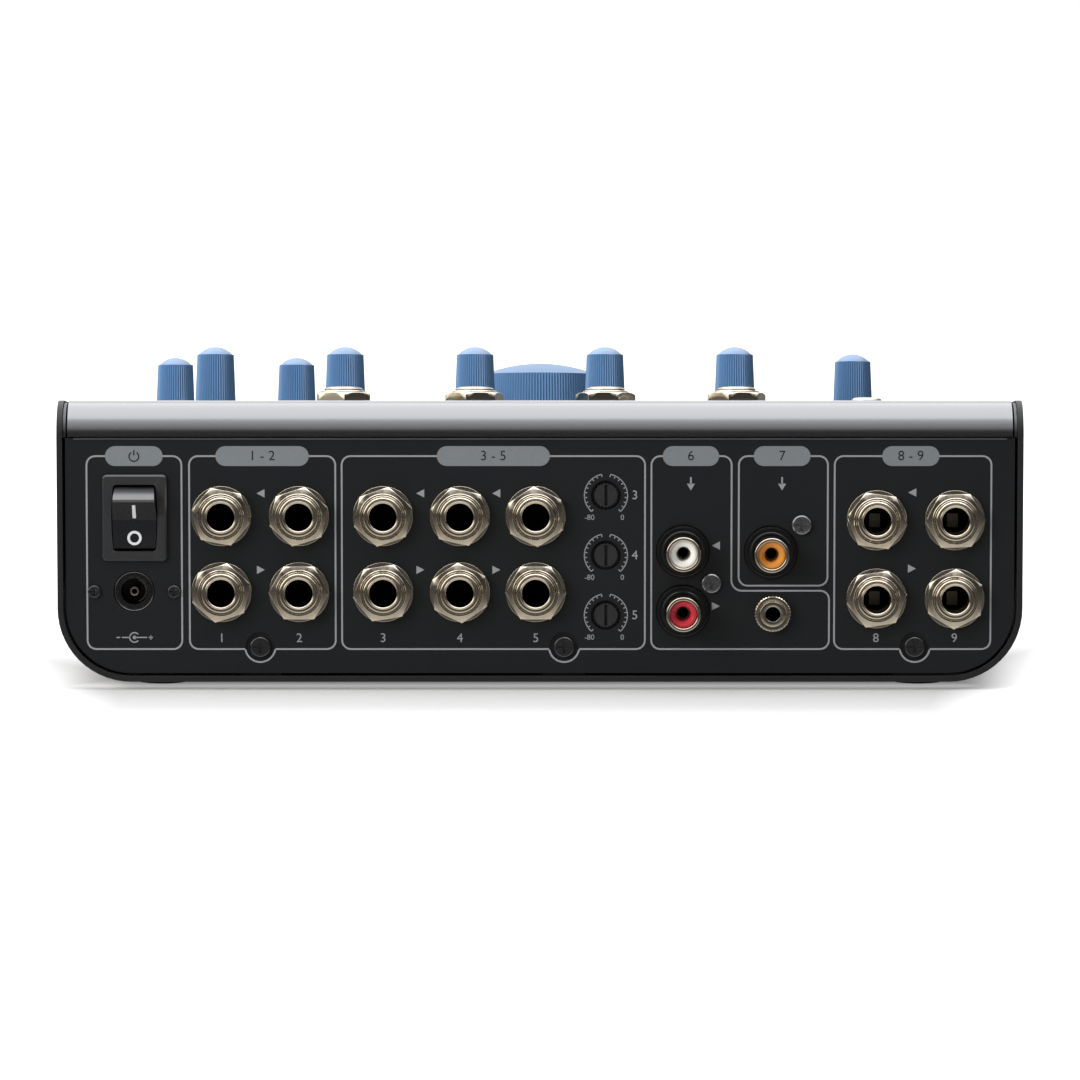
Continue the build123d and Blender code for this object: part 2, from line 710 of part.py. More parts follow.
def make_trim_rotor():
    """Slotted trim rotor with a toothed rim. Panel's face on Z 0."""
    length = panel_thickness + trim_rotor_seat - trim_rotor_recess
    rotor = Pos(0, 0, -panel_thickness - trim_rotor_seat) * rod(trim_rotor_radius, length)
    tooth_gap = Pos(trim_rotor_radius, 0, -trim_rotor_recess - trim_tooth_height)
    tooth_gap = tooth_gap * block(trim_tooth_gap, trim_tooth_gap, trim_tooth_height)
    for index in range(trim_teeth):
        rotor -= Rot(0, 0, (index + 0.5) * 360 / trim_teeth) * tooth_gap
    slot = block(trim_slot_width, 2 * trim_rotor_radius - 2 * trim_tooth_gap, trim_slot_depth)
    return rotor - Pos(0, 0, -trim_rotor_recess - trim_slot_depth) * slot


def make_control_board():
    """Board under the cover, parallel to it, with the potentiometers and key switches on it."""
    rear_edge = phones_distance + phones_body_depth / 2
    length = body_depth - control_board_setback - rear_edge
    board = block(body_width - 2 * control_board_side_gap, length, board_thickness)
    return on_top(0, rear_edge + length / 2, board_top - board_thickness) * board


def make_rear_board():
    """Upright board behind the rear jack bodies."""
    width = body_width - 2 * rear_board_side_gap
    board = block(width, rear_board_high - rear_board_low, board_thickness)
    middle = (rear_board_low + rear_board_high) / 2
    return on_rear(0, middle, -panel_thickness - jack_body_length - board_thickness) * board


def make_ribbon_cable():
    """Flat cable from the rear board's front, forwards and up to the control board's underside."""
    start = panel_back_y - jack_body_length - board_thickness
    inner = (start - ribbon_run, base_z + ribbon_height)
    outer = (inner[0] - ribbon_thickness, inner[1] - ribbon_thickness)
    top = base_z + rear_height
    points = ((start, outer[1]), outer, (outer[0], top), (inner[0], top), inner, (start, inner[1]))
    outline = make_face(Polyline(*points, close=True))
    for corner, radius in ((inner, ribbon_bend_radius), (outer, ribbon_bend_radius + ribbon_thickness)):
        outline = fillet(outline.vertices().sort_by_distance(corner)[0], radius)
    cable = Pos(ribbon_share * half_width, 0, 0) * prism_along_x(outline, ribbon_width)
    above_board = block(body_width, body_depth, rear_height)
    return cable - on_top(0, body_depth / 2, board_top - board_thickness) * above_board


# ---- Case ----
save("bottom_shell", make_bottom_shell())
save("top_cover", make_top_cover())
save("rear_panel", make_rear_panel())
right_bracket = make_side_bracket()
save("side_brackets", right_bracket, mirror(right_bracket, Plane.YZ))
foot_places = [(side * (half_width - foot_side_inset), y) for side in (-1, 1)
               for y in (front_y + foot_end_inset, rear_y - foot_end_inset)]
save("rubber_feet", *[Pos(x, y, 0) * rod(foot_radius, foot_height) for x, y in foot_places])

# ---- Screws ----
panel_screw = screw(
    panel_screw_radius,
    panel_screw_length,
    panel_screw_head_radius,
    panel_screw_head_height,
)
save("panel_screws", *[on_rear(x, panel_screw_height, -dimple_depth) * panel_screw for x in panel_screw_xs])
save("base_screws", *[Pos(x, base_screw_y, base_z) * Rot(180, 0, 0) * panel_screw for x in base_screw_xs])
dc_screw = screw(small_screw_radius, small_screw_length, dc_screw_head_radius, dc_screw_head_height)
save("dc_inlet_screws", *[on_rear(x, dc_height) * dc_screw for x in dc_screw_xs])
rca_screw = screw(small_screw_radius, small_screw_length, rca_screw_head_radius, rca_screw_head_height)
save("rca_screws", *[on_rear(*place) * rca_screw for place in rca_screw_places])

# ---- 6.35 mm sockets ----
rear_places = output_places + input_places
jack_body = make_jack_body(jack_body_side)
save("rear_jack_bodies", *[on_rear(*place, -panel_thickness) * jack_body for place in rear_places])
phones_body = make_jack_body(phones_body_depth)
save("phones_jack_bodies", *[on_top(x, phones_distance, -sheet) * phones_body for x in phones_xs])
rear_bushing = make_bushing(panel_thickness)
seat = -panel_thickness - bushing_seat
save("rear_jack_bushings", *[on_rear(*place, seat) * rear_bushing for place in rear_places])
phones_bushing = make_bushing(sheet)
seat = -sheet - bushing_seat
save("phones_jack_bushings", *[on_top(x, phones_distance, seat) * phones_bushing for x in phones_xs])
nut = make_nut()
washer = tube(washer_radius, bushing_radius + hole_clearance, washer_thickness)
nut_turns = [*output_nut_turns, *input_nut_turns, *phones_nut_turns]
nuts = []
washers = []
seats = [on_rear(*place) for place in rear_places] + [on_top(x, phones_distance) for x in phones_xs]
for seat_place, turn in zip(seats, nut_turns):
    nuts.append(seat_place * Pos(0, 0, washer_thickness) * Rot(0, 0, turn) * nut)
    washers.append(seat_place * washer)
save("jack_nuts", *nuts)
save("jack_washers", *washers)

# ---- RCA sockets ----
aux_gap = aux_left_height - aux_right_height
aux_housing = make_rca_housing(
    aux_housing_width,
    aux_gap + 2 * aux_housing_margin,
    (aux_housing_shift, -aux_gap / 2),
    ((0, 0), (0, -aux_gap)),
    (aux_screw_shift, -aux_screw_drop),
)
save("aux_rca_housing", on_rear(aux_x, aux_left_height) * aux_housing)
digital_housing = make_rca_housing(
    digital_housing_width,
    digital_housing_length,
    (digital_housing_shift, digital_housing_rise),
    ((0, 0),),
    (digital_screw_shift, digital_screw_rise),
)
save("digital_rca_housing", on_rear(digital_x, digital_height) * digital_housing)
rca_places = ((aux_x, aux_left_height), (aux_x, aux_right_height), (digital_x, digital_height))
save("rca_sleeves", *[on_rear(*place) * make_rca_sleeve() for place in rca_places])
for colour, place in zip(("white", "red", "orange"), rca_places):
    save(f"{colour}_insulator", on_rear(*place) * make_rca_insulator())

# ---- 3.5 mm socket ----
mini_body = Pos(0, 0, -mini_body_length) * block(mini_body_side, mini_body_side, mini_body_length)
mini_body -= Pos(0, 0, -mini_body_bore_depth) * rod(mini_bore_radius, mini_body_bore_depth)
mini_body -= Pos(0, 0, -mini_seat) * rod(mini_bushing_radius, mini_seat)
save("mini_jack_body", on_rear(mini_x, mini_height, -panel_thickness) * mini_body)
mini_bushing_length = mini_seat + panel_thickness + mini_nut_thickness + mini_bushing_proud
mini_bushing = tube(mini_bushing_radius, mini_bore_radius, mini_bushing_length)
save("mini_jack_bushing", on_rear(mini_x, mini_height, -panel_thickness - mini_seat) * mini_bushing)
save("mini_jack_nut", on_rear(mini_x, mini_height) * make_mini_nut())

# ---- Power switch and DC inlet ----
save("power_switch_frame", on_rear(power_x, power_height) * make_power_frame())
rocker_place = on_rear(power_x, power_height, -rocker_pivot_depth) * Rot(rocker_tilt, 0, 0)
save("power_rocker", rocker_place * make_rocker())
save("dc_inlet_body", on_rear(dc_x, dc_height) * make_dc_body())
dc_pin = rod(dc_pin_radius, dc_bore_depth - dc_pin_recess + dc_nose_recess)
dc_pin = fillet(dc_pin.edges().sort_by(Axis.Z)[-1], dc_pin_radius / 2)
save("dc_inlet_pin", on_rear(dc_x, dc_height, -dc_nose_recess - dc_bore_depth) * dc_pin)

# ---- Speaker trims ----
trim_body = make_pot_body(trim_body_side, trim_body_depth, trim_rotor_seat, trim_rotor_radius)
trim_bodies = [on_rear(trim_x, v, -panel_thickness) * trim_body for v in trim_heights]
trim_rotor = make_trim_rotor()
for index, v in enumerate(trim_heights):
    save(f"speaker_trim_{index + 1}", on_rear(trim_x, v) * trim_rotor)

# ---- Knobs and their potentiometers ----
small_knob = make_knob(
    knob_foot_radius,
    knob_rim_radius,
    knob_height,
    knob_dome,
    knob_ribs,
    knob_bore_depth,
)
small_shaft = make_shaft(knob_bore_depth)
pointing_low = Rot(0, 0, knob_rest_turn)
for name, place in small_knob_places.items():
    save(name, on_top(*place, knob_gap) * pointing_low * small_knob, on_top(*place) * small_shaft)
main_knob = make_knob(
    main_knob_foot_radius,
    main_knob_rim_radius,
    main_knob_height,
    main_knob_dome,
    main_knob_ribs,
    main_knob_bore_depth,
)
save("main_knob", on_top(*main_knob_place, knob_gap) * pointing_low * main_knob)
save("main_shaft", on_top(*main_knob_place) * make_shaft(main_knob_bore_depth))
pot_body = make_pot_body(pot_side, pot_height, pot_shaft_seat, shaft_radius)
pot_places = [*small_knob_places.values(), main_knob_place]
pot_bodies = [on_top(*place, -sheet - pot_gap) * pot_body for place in pot_places]
save("potentiometer_bodies", *pot_bodies, *trim_bodies)

# ---- Buttons, meter and microphone ----
button = make_button()
for name, place in button_places.items():
    save(name, on_top(*place) * button)
save("key_switches", *[on_top(*place, board_top) * make_key_switch() for place in button_places.values()])
meter = Pos(0, 0, -sheet) * block(meter_width, meter_length, sheet + meter_proud)
meter_flange = block(meter_width + 2 * meter_rim, meter_length + 2 * meter_rim, meter_depth)
meter += Pos(0, 0, -sheet - meter_depth) * meter_flange
save("meter_window", on_top(*meter_place) * meter)
grille = fillet(rod(grille_radius, grille_proud).edges().sort_by(Axis.Z)[-1], grille_edge_radius)
grille += Pos(0, 0, -grille_neck_length) * rod(grille_neck_radius, grille_neck_length)
save("mic_grille", on_top(*grille_place) * grille)

# ---- Boards ----
save("control_board", make_control_board())
standoff = rod(standoff_radius, pot_gap + pot_height)
save("board_standoffs", *[on_top(*place, board_top) * standoff for place in standoff_places])
save("rear_board", make_rear_board())
save("ribbon_cable", make_ribbon_cable())
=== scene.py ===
from math import cos, pi, radians, sin

import bmesh
import bpy
from mathutils import Matrix, Vector


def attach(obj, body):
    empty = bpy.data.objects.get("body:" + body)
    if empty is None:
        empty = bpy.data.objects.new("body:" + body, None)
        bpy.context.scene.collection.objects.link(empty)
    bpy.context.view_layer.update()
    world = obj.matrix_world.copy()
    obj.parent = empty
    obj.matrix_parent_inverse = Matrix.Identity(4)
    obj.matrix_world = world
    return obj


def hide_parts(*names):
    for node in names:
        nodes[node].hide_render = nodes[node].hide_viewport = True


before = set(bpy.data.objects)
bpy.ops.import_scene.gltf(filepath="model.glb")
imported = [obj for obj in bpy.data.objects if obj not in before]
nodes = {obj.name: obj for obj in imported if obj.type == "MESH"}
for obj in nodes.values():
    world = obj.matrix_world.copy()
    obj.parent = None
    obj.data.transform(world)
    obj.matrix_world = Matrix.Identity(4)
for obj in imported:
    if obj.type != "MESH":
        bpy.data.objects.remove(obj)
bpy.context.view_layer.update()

# ---- Camera ----
# A long lens on the middle of the rear panel, from a little above it, so that every socket is seen
# nearly square on and the top shows only as the line behind the cover's bend.
camera = bpy.data.objects.new("camera", bpy.data.cameras.new("camera"))
bpy.context.scene.collection.objects.link(camera)
camera.location = (0, 1.576, 0.182)
camera_aim = Vector((0, 0.0763, 0.036))
camera.rotation_euler = (camera_aim - camera.location).to_track_quat("-Z", "Y").to_euler()
camera.data.sensor_width = 36
camera.data.lens = 211
camera.data.clip_end = 50
bpy.context.scene.camera = camera
bpy.context.scene.view_settings.view_transform = "Standard"


# ---- Floor and lamps ----
# A plain pale floor under a long overhead softbox, with a broad lamp and a small strong one to the left
# of the rear panel. The floor also glows for the camera: painted light that keeps it evenly white away
# from the unit and lifts the object's shadow near it. What metal and gloss mirror is the world: dark in
# front of the panel, bright above it and behind the unit, with a warm window at the upper left.
class Value:
    """A number that varies over a surface. Each operator on it adds a Math node."""

    def __init__(self, finish, socket):
        self.finish = finish
        self.socket = socket

    def math(self, operation, *numbers):
        return self.finish.node("ShaderNodeMath", {"operation": operation}, dict(enumerate(numbers)))

    def __add__(self, other):
        return self.math("ADD", self, other)

    def __radd__(self, other):
        return self.math("ADD", other, self)

    def __rsub__(self, other):
        return self.math("SUBTRACT", other, self)

    def __mul__(self, other):
        return self.math("MULTIPLY", self, other)

    def __rmul__(self, other):
        return self.math("MULTIPLY", other, self)

    def __gt__(self, other):
        return self.math("GREATER_THAN", self, other)

    def __lt__(self, other):
        return self.math("LESS_THAN", self, other)


class Finish:
    """The nodes of a material or of the world, and the shader at their end."""

    def __init__(self, owner, shader):
        owner.use_nodes = True
        self.owner = owner
        self.tree = owner.node_tree
        self.shader = self.tree.nodes[shader]

    def fill(self, node, inputs):
        """Sets a node's sockets, each to a plain value or a link."""
        for name, value in inputs.items():
            socket = node.inputs[name]
            if isinstance(value, Value):
                self.tree.links.new(value.socket, socket)
            elif socket.type == "RGBA":
                socket.default_value = (*value, 1)
            else:
                socket.default_value = value

    def set(self, inputs):
        """Sets the shader's own sockets."""
        self.fill(self.shader, inputs)

    def node(self, kind, settings, inputs, output=0):
        """Adds a node and gives one of its outputs."""
        node = self.tree.nodes.new(kind)
        for name, value in settings.items():
            if name == "stops":
                for stop, (position, colour) in enumerate(value):
                    if stop > 1:
                        node.color_ramp.elements.new(position)
                    node.color_ramp.elements[stop].position = position
                    node.color_ramp.elements[stop].color = (*colour, 1)
            else:
                setattr(node, name, value)
        self.fill(node, inputs)
        return Value(self, node.outputs[output])

    def blend(self, share, first, second):
        """Colour that goes from the first to the second as the share goes from 0 to 1."""
        return self.node("ShaderNodeMix", {"data_type": "RGBA"}, {0: share, 6: first, 7: second}, 2)

    def ease(self, value, start, end):
        """Share that goes smoothly from 0 to 1 as the value goes from the start to the end."""
        inputs = {"Value": value, "From Min": start, "From Max": end}
        return self.node("ShaderNodeMapRange", {"interpolation_type": "SMOOTHSTEP"}, inputs)

    def place(self):
        """The point of the surface, in metres."""
        return self.node("ShaderNodeTexCoord", {}, {}, "Object")

    def split(self, vector):
        """The three parts of a vector."""
        return [self.node("ShaderNodeSeparateXYZ", {}, {0: vector}, part) for part in range(3)]


def lamp(name, place, aim, size, brightness):
    """Rectangular softbox, as bright all over as its brightness says."""
    light = bpy.data.lights.new(name, "AREA")
    light.shape = "RECTANGLE"
    light.size, light.size_y = size
    light.energy = brightness * pi * size[0] * size[1]
    softbox = bpy.data.objects.new(name, light)
    bpy.context.scene.collection.objects.link(softbox)
    softbox.location = place
    softbox.rotation_euler = (Vector(aim) - Vector(place)).to_track_quat("-Z", "Y").to_euler()
    softbox.visible_camera = False
    return softbox


panel_middle = (0, 0.07, 0.03)
overhead_lamp = lamp("overhead_lamp", (0, -0.135, 0.85), (0, -0.135, 0), (1.3, 1.34), 1.45)
overhead_lamp.data.color = (0.96, 0.97, 1.0)
fill_lamp = lamp("fill_lamp", (1.5, 1.55, 0.5), panel_middle, (1.4, 1.2), 4.8)
fill_lamp.visible_glossy = False
key_lamp = lamp("key_lamp", (0.95, 0.75, 0.7), panel_middle, (0.5, 0.5), 9.5)
key_lamp.data.color = (1.0, 0.97, 0.92)
key_lamp.visible_glossy = False

studio = Finish(bpy.data.worlds.new("studio"), "Background")
bpy.context.scene.world = studio.owner
world_x, world_y, world_z = studio.split(studio.node("ShaderNodeTexCoord", {}, {}, "Generated"))
seen = studio.node("ShaderNodeLightPath", {}, {}, "Is Camera Ray")
mirrored = studio.node("ShaderNodeLightPath", {}, {}, "Is Glossy Ray")
in_front = studio.node("ShaderNodeValToRGB", {"stops": [
    (0.0, (0.74, 0.72, 0.68)), (0.225, (0.58, 0.56, 0.53)), (0.35, (0.20, 0.19, 0.18)),
    (0.45, (0.08, 0.08, 0.08)), (0.52, (0.055, 0.055, 0.055)), (0.60, (0.045, 0.045, 0.045)),
    (0.64, (0.045, 0.045, 0.045)), (0.67, (0.10, 0.10, 0.102)), (0.71, (0.46, 0.46, 0.47)),
    (0.735, (0.73, 0.73, 0.74)), (0.77, (0.84, 0.84, 0.86)), (0.83, (1.0, 1.0, 1.03)),
    (0.86, (1.2, 1.2, 1.23)), (0.92, (1.6, 1.6, 1.64)),
]}, {"Fac": world_z * 0.5 + 0.5})
from_left = studio.ease(world_x, 0.4, 0.6)
from_above = studio.ease(world_z, 0.0, 0.3)
with_window = studio.blend(from_left * from_above, in_front, (1.9, 1.83, 1.7))
far_side = studio.blend(from_above, (0.62, 0.62, 0.62), (1.5, 1.5, 1.53))
to_right = studio.ease(world_x, -0.25, -0.6)
far_side = studio.blend(to_right, far_side, (0.15, 0.15, 0.155))
behind = studio.ease(world_y, 0.1, -0.4)
surroundings = studio.blend(behind, with_window, far_side)
lit = studio.blend(mirrored, (0.18, 0.18, 0.18), surroundings)
studio.set({"Color": studio.blend(seen, lit, (1, 1, 1)), "Strength": 1.0})

floor_finish = Finish(bpy.data.materials.new("studio_floor"), "Principled BSDF")
floor_x, floor_y = floor_finish.split(floor_finish.place())[:2]
floor_seen = floor_finish.node("ShaderNodeLightPath", {}, {}, "Is Camera Ray")
# Painted light: the floor glows for the camera only. Far from the unit the glow makes it evenly white;
# nearer, it lifts the object's shadow in places: just under the body's rear edge, at its sides, and more on
# the right than on the left.
painted_right_lift = floor_x.math("MINIMUM", floor_x, 0.0) * -0.075
shadow_reach = floor_x.math("ABSOLUTE", floor_x) + floor_y * 0.18 + painted_right_lift
painted_side_light = floor_finish.ease(shadow_reach, 0.108, 0.15)
# Painted light along the floor's depth. The small rise just inside the rear panel's line is a painted lift
# of the shadow under the body.
painted_light_stops = (
    (0.35, 1.0), (0.425, 0.84), (0.5, 0.5), (0.575, 0.156), (0.612, 0.08), (0.6375, 0.06), (0.652, 0.2),
    (0.670, 0.44), (0.682, 0.22), (0.69, 0.08), (0.7325, 0.1), (0.7675, 0.12), (0.805, 0.24),
    (0.9, 0.75), (1.0, 1.0),
)
painted_depth_light = floor_finish.node("ShaderNodeValToRGB", {
    "stops": [(position, (grey, grey, grey)) for position, grey in painted_light_stops],
}, {"Fac": floor_y * 2.5 + 0.5})
painted_floor_light = painted_side_light.math("MAXIMUM", painted_side_light, painted_depth_light) * floor_seen
floor_finish.set({
    "Base Color": (0.8, 0.8, 0.8), "Roughness": 0.9, "Specular IOR Level": 0.0,
    "Emission Color": floor_finish.blend(painted_floor_light, (0, 0, 0), (1, 1, 1)), "Emission Strength": 1.0,
})
floor_reach = 12
floor_shape = bmesh.new()
bmesh.ops.create_grid(floor_shape, x_segments=1, y_segments=1, size=floor_reach)
floor_mesh = bpy.data.meshes.new("floor")
floor_shape.to_mesh(floor_mesh)
floor_mesh.materials.append(floor_finish.owner)
floor = bpy.data.objects.new("floor", floor_mesh)
bpy.context.scene.collection.objects.link(floor)
floor.visible_glossy = False

# ---- Bottom shell, cover and brackets ----
# The shell and the cover are bent from 1.4 mm steel sheet. The shell has a satin black powder coat.
# The cover is lacquered, glossy on its bends, with a matt black film on the flat that the knobs stand on.
mm = 0.001


def surface(name, inputs):
    """A piece's material, with a plain value for each of its shader's inputs."""
    finish = Finish(bpy.data.materials.new(name), "Principled BSDF")
    finish.set(inputs)
    return finish


def grain(finish, size, stretch=(1, 1, 1), detail=2.0):
    """Cloudy pattern from 0 to 1 whose patches are of about the given size in mm."""
    scale = tuple(1 / (size * mm * part) for part in stretch)
    place = finish.node("ShaderNodeMapping", {}, {"Vector": finish.place(), "Scale": scale})
    settings = {"Vector": place, "Scale": 1.0, "Detail": detail, "Roughness": 0.55}
    return finish.node("ShaderNodeTexNoise", {}, settings)


def mottled(name, size, dark, light, inputs, stretch=(1, 1, 1)):
    """Material whose colour goes from dark to light in patches of about the given size in mm."""
    finish = surface(name, inputs)
    finish.set({"Base Color": finish.blend(grain(finish, size, stretch), dark, light)})
    return finish


def texture(finish, pattern, least, spread, depth=0.0, strength=0.5):
    """Makes a finish rougher where the pattern is high and, with a depth in mm, raises it there."""
    finish.set({"Roughness": least + spread * pattern})
    if depth:
        inputs = {"Height": pattern, "Distance": depth * mm, "Strength": strength}
        finish.set({"Normal": finish.node("ShaderNodeBump", {}, inputs)})


smooth_solid = bpy.data.node_groups.new("smooth_solid", "GeometryNodeTree")
smooth_solid.interface.new_socket("Geometry", in_out="INPUT", socket_type="NodeSocketGeometry")
smooth_solid.interface.new_socket("Geometry", in_out="OUTPUT", socket_type="NodeSocketGeometry")
loose_faces = smooth_solid.nodes.new("NodeGroupInput")
merge = smooth_solid.nodes.new("GeometryNodeMergeByDistance")
merge.inputs["Distance"].default_value = 0.002 * mm
shade = smooth_solid.nodes.new("GeometryNodeSetShadeSmooth")
shade.inputs["Shade Smooth"].default_value = True
joined_faces = smooth_solid.nodes.new("NodeGroupOutput")
smooth_solid.links.new(loose_faces.outputs[0], merge.inputs["Geometry"])
smooth_solid.links.new(merge.outputs["Geometry"], shade.inputs["Geometry"])
smooth_solid.links.new(shade.outputs["Geometry"], joined_faces.inputs[0])


def dress(node, finish, edge=0.0, crease=35):
    """Gives a solid its material and, with an edge in mm, smooth curves and edges rounded by that much."""
    solid = nodes[node]
    solid.data.materials.clear()
    solid.data.materials.append(finish.owner)
    if edge:
        smooth = solid.modifiers.new("smooth", "NODES")
        smooth.node_group = smooth_solid
        bevel = solid.modifiers.new("edges", "BEVEL")
        bevel.width = edge * mm
        bevel.segments = 2
        bevel.limit_method = "ANGLE"
        bevel.angle_limit = radians(crease)
        bevel.harden_normals = True
        bevel.use_clamp_overlap = True
        flat = solid.modifiers.new("flat_faces", "WEIGHTED_NORMAL")
        flat.mode = "FACE_AREA"
        flat.weight = 80
        flat.keep_sharp = True


shell_coat = mottled("shell_coat", 25, (0.0125, 0.013, 0.0135), (0.0170, 0.0175, 0.018),
                     {"Specular IOR Level": 0.35})
texture(shell_coat, grain(shell_coat, 0.35), least=0.36, spread=0.16, depth=0.02, strength=0.5)

cover_coat = surface("cover_coat", {"Coat Roughness": 0.2, "Coat IOR": 2.4})
cover_x, cover_y, cover_z = cover_coat.split(cover_coat.place())
film_side = 0.1085
film_rear = 0.0635
film_front = -0.0705
film_lowest = 0.045
film = (cover_x.math("ABSOLUTE", cover_x) < film_side) * (cover_y < film_rear) * (cover_y > film_front)
film = film * (cover_z > film_lowest)
paint = cover_coat.blend(grain(cover_coat, 30), (0.045, 0.046, 0.050), (0.053, 0.054, 0.058))
film_black = cover_coat.blend(grain(cover_coat, 12), (0.010, 0.0105, 0.0115), (0.0125, 0.013, 0.014))
cover_coat.set({
    "Base Color": cover_coat.blend(film, paint, film_black),
    "Metallic": 0.9 - 0.9 * film,
    "Roughness": 0.27 + 0.06 * grain(cover_coat, 0.3) + film * 0.2,
    "Coat Weight": 1 - film,
})

bracket_steel = surface("bracket_steel", {"Base Color": (0.10, 0.10, 0.105), "Metallic": 1.0})
texture(bracket_steel, grain(bracket_steel, 0.25, (1, 30, 1)),
        least=0.3, spread=0.2, depth=0.01, strength=0.4)

dress("bottom_shell", shell_coat, edge=0.18)
dress("top_cover", cover_coat)
dress("side_brackets", bracket_steel, edge=0.08)

# ---- Rear panel and its print ----
# The panel is 1.5 mm steel with a fine satin black coat. Boxes, title plates, dial scales and socket
# numbers are screen-printed on it in grey ink, and the plates carry their marks in black. A lighter
# metal strip along its top, partly its bare edge and partly a painted highlight, shows below the seam
# under the cover's lip, and a black strip behind that seam is painted shade that keeps the gap dark.
panel_face = 0.0757
foot_gap = 0.002


def rear(x, height, out=0.0):
    """Place on the rear panel, in mm. From it X runs right as seen from behind, Y up and Z out."""
    facing = Matrix(((-1, 0, 0, 0), (0, 0, 1, 0), (0, 1, 0, 0), (0, 0, 0, 1)))
    place = Matrix.Translation((x * mm, panel_face + out * mm, foot_gap + height * mm))
    return place @ facing @ Matrix.Scale(mm, 4)


def fit(name, shape, places, finish, body="case", hides=()):
    """Sets a copy of a shape, made in mm, at each place, and fixes them all to a body as one piece."""
    crease = 32
    mesh = bpy.data.meshes.new(name)
    shape.to_mesh(mesh)
    whole = bmesh.new()
    for place in places:
        start = len(whole.verts)
        whole.from_mesh(mesh)
        whole.verts.ensure_lookup_table()
        bmesh.ops.transform(whole, matrix=place, verts=whole.verts[start:])
    for face in whole.faces:
        face.smooth = True
    whole.to_mesh(mesh)
    mesh.set_sharp_from_angle(angle=radians(crease))
    mesh.materials.append(finish.owner)
    piece = bpy.data.objects.new(name, mesh)
    bpy.context.scene.collection.objects.link(piece)
    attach(piece, body)
    if hides:
        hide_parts(*hides)


def add(sheet, shape, x=0.0, y=0.0, turn=0.0, z=0.0):
    """Adds a copy of a shape to a sheet of print or to a larger shape, turned in degrees and moved."""
    mesh = bpy.data.meshes.new("copy")
    shape.to_mesh(mesh)
    start = len(sheet.verts)
    sheet.from_mesh(mesh)
    sheet.verts.ensure_lookup_table()
    place = Matrix.Translation((x, y, z)) @ Matrix.Rotation(radians(turn), 4, "Z")
    bmesh.ops.transform(sheet, matrix=place, verts=sheet.verts[start:])
    bpy.data.meshes.remove(mesh)


def rounded(corners):
    """Flat shape with the given corners, each with the radius of its round as third number."""
    shape = bmesh.new()
    points = [shape.verts.new((x, y, 0)) for x, y, radius in corners]
    shape.faces.new(points)
    for wanted in sorted({radius for x, y, radius in corners if radius}):
        round_points = [point for point, corner in zip(points, corners) if corner[2] == wanted]
        bmesh.ops.bevel(shape, geom=round_points, offset=wanted, offset_type="OFFSET", segments=6,
                        profile=0.5, affect="VERTICES", material=-1)
    bmesh.ops.recalc_face_normals(shape, faces=shape.faces)
    return shape


def rectangle(width, height, radius=0.0):
    """Flat rectangle about the middle, with rounded corners."""
    x, y = width / 2, height / 2
    return rounded([(-x, -y, radius), (x, -y, radius), (x, y, radius), (-x, y, radius)])


def line_round(shape, width):
    """Keeps only a line of the given width along a flat shape's edge."""
    inner = list(shape.faces)
    bmesh.ops.inset_region(shape, faces=inner, thickness=width, use_boundary=True, use_even_offset=True)
    bmesh.ops.delete(shape, geom=inner, context="FACES")
    return shape


def stroke(x, y, end_x, end_y, width):
    """Straight printed line between two points."""
    run = Vector((end_x - x, end_y - y, 0))
    side = Vector((-run.y, run.x, 0)).normalized() * width / 2
    start = Vector((x, y, 0))
    corners = (start - side, start + run - side, start + run + side, start + side)
    shape = bmesh.new()
    shape.faces.new([shape.verts.new(corner) for corner in corners])
    return shape


def arc(radius, width, start, sweep, steps=24):
    """Curved printed line: from its start it runs on by the sweep, both in degrees from the right."""
    shape = bmesh.new()
    ends = [shape.verts.new((radius + side * width / 2, 0, 0)) for side in (-1, 1)]
    edge = shape.edges.new(ends)
    bmesh.ops.rotate(shape, verts=ends, cent=(0, 0, 0), matrix=Matrix.Rotation(radians(start), 3, "Z"))
    bmesh.ops.spin(shape, geom=ends + [edge], cent=(0, 0, 0), axis=(0, 0, 1), angle=radians(sweep),
                   steps=steps, use_merge=abs(sweep) == 360)
    bmesh.ops.recalc_face_normals(shape, faces=shape.faces)
    return shape


def arrow(length, width):
    """Solid triangle about the middle that points right."""
    return rounded([(-length / 2, -width / 2, 0), (length / 2, 0, 0), (-length / 2, width / 2, 0)])


def number(text, height):
    """Plain figures, as high as given, about the middle."""
    figure_share = 0.69
    curve = bpy.data.curves.new("number", "FONT")
    curve.body = text
    curve.size = height / figure_share
    curve.align_x = "CENTER"
    curve.align_y = "CENTER"
    curve.resolution_u = 4
    holder = bpy.data.objects.new("number", curve)
    shape = bmesh.new()
    shape.from_mesh(bpy.data.meshes.new_from_object(holder))
    bpy.data.objects.remove(holder)
    return shape


def tick(sheet, degrees, inner, outer, width, x, y):
    """Adds a short line that points away from a dial's middle."""
    right, up = cos(radians(degrees)), sin(radians(degrees))
    add(sheet, stroke(inner * right, inner * up, outer * right, outer * up, width), x, y)


def face_up(shape):
    """Turns the faces of a flat or gently domed shape upwards."""
    bmesh.ops.recalc_face_normals(shape, faces=shape.faces)
    for face in shape.faces:
        if face.normal.z < 0:
            face.normal_flip()


def deepen(shape, depth):
    """Gives a flat shape a thickness behind its face."""
    grown = bmesh.ops.extrude_face_region(shape, geom=list(shape.faces), use_keep_orig=True)["geom"]
    rim = [part for part in grown if isinstance(part, bmesh.types.BMVert)]
    bmesh.ops.translate(shape, vec=(0, 0, -depth), verts=rim)
    bmesh.ops.recalc_face_normals(shape, faces=shape.faces)


ink_height = 0.04


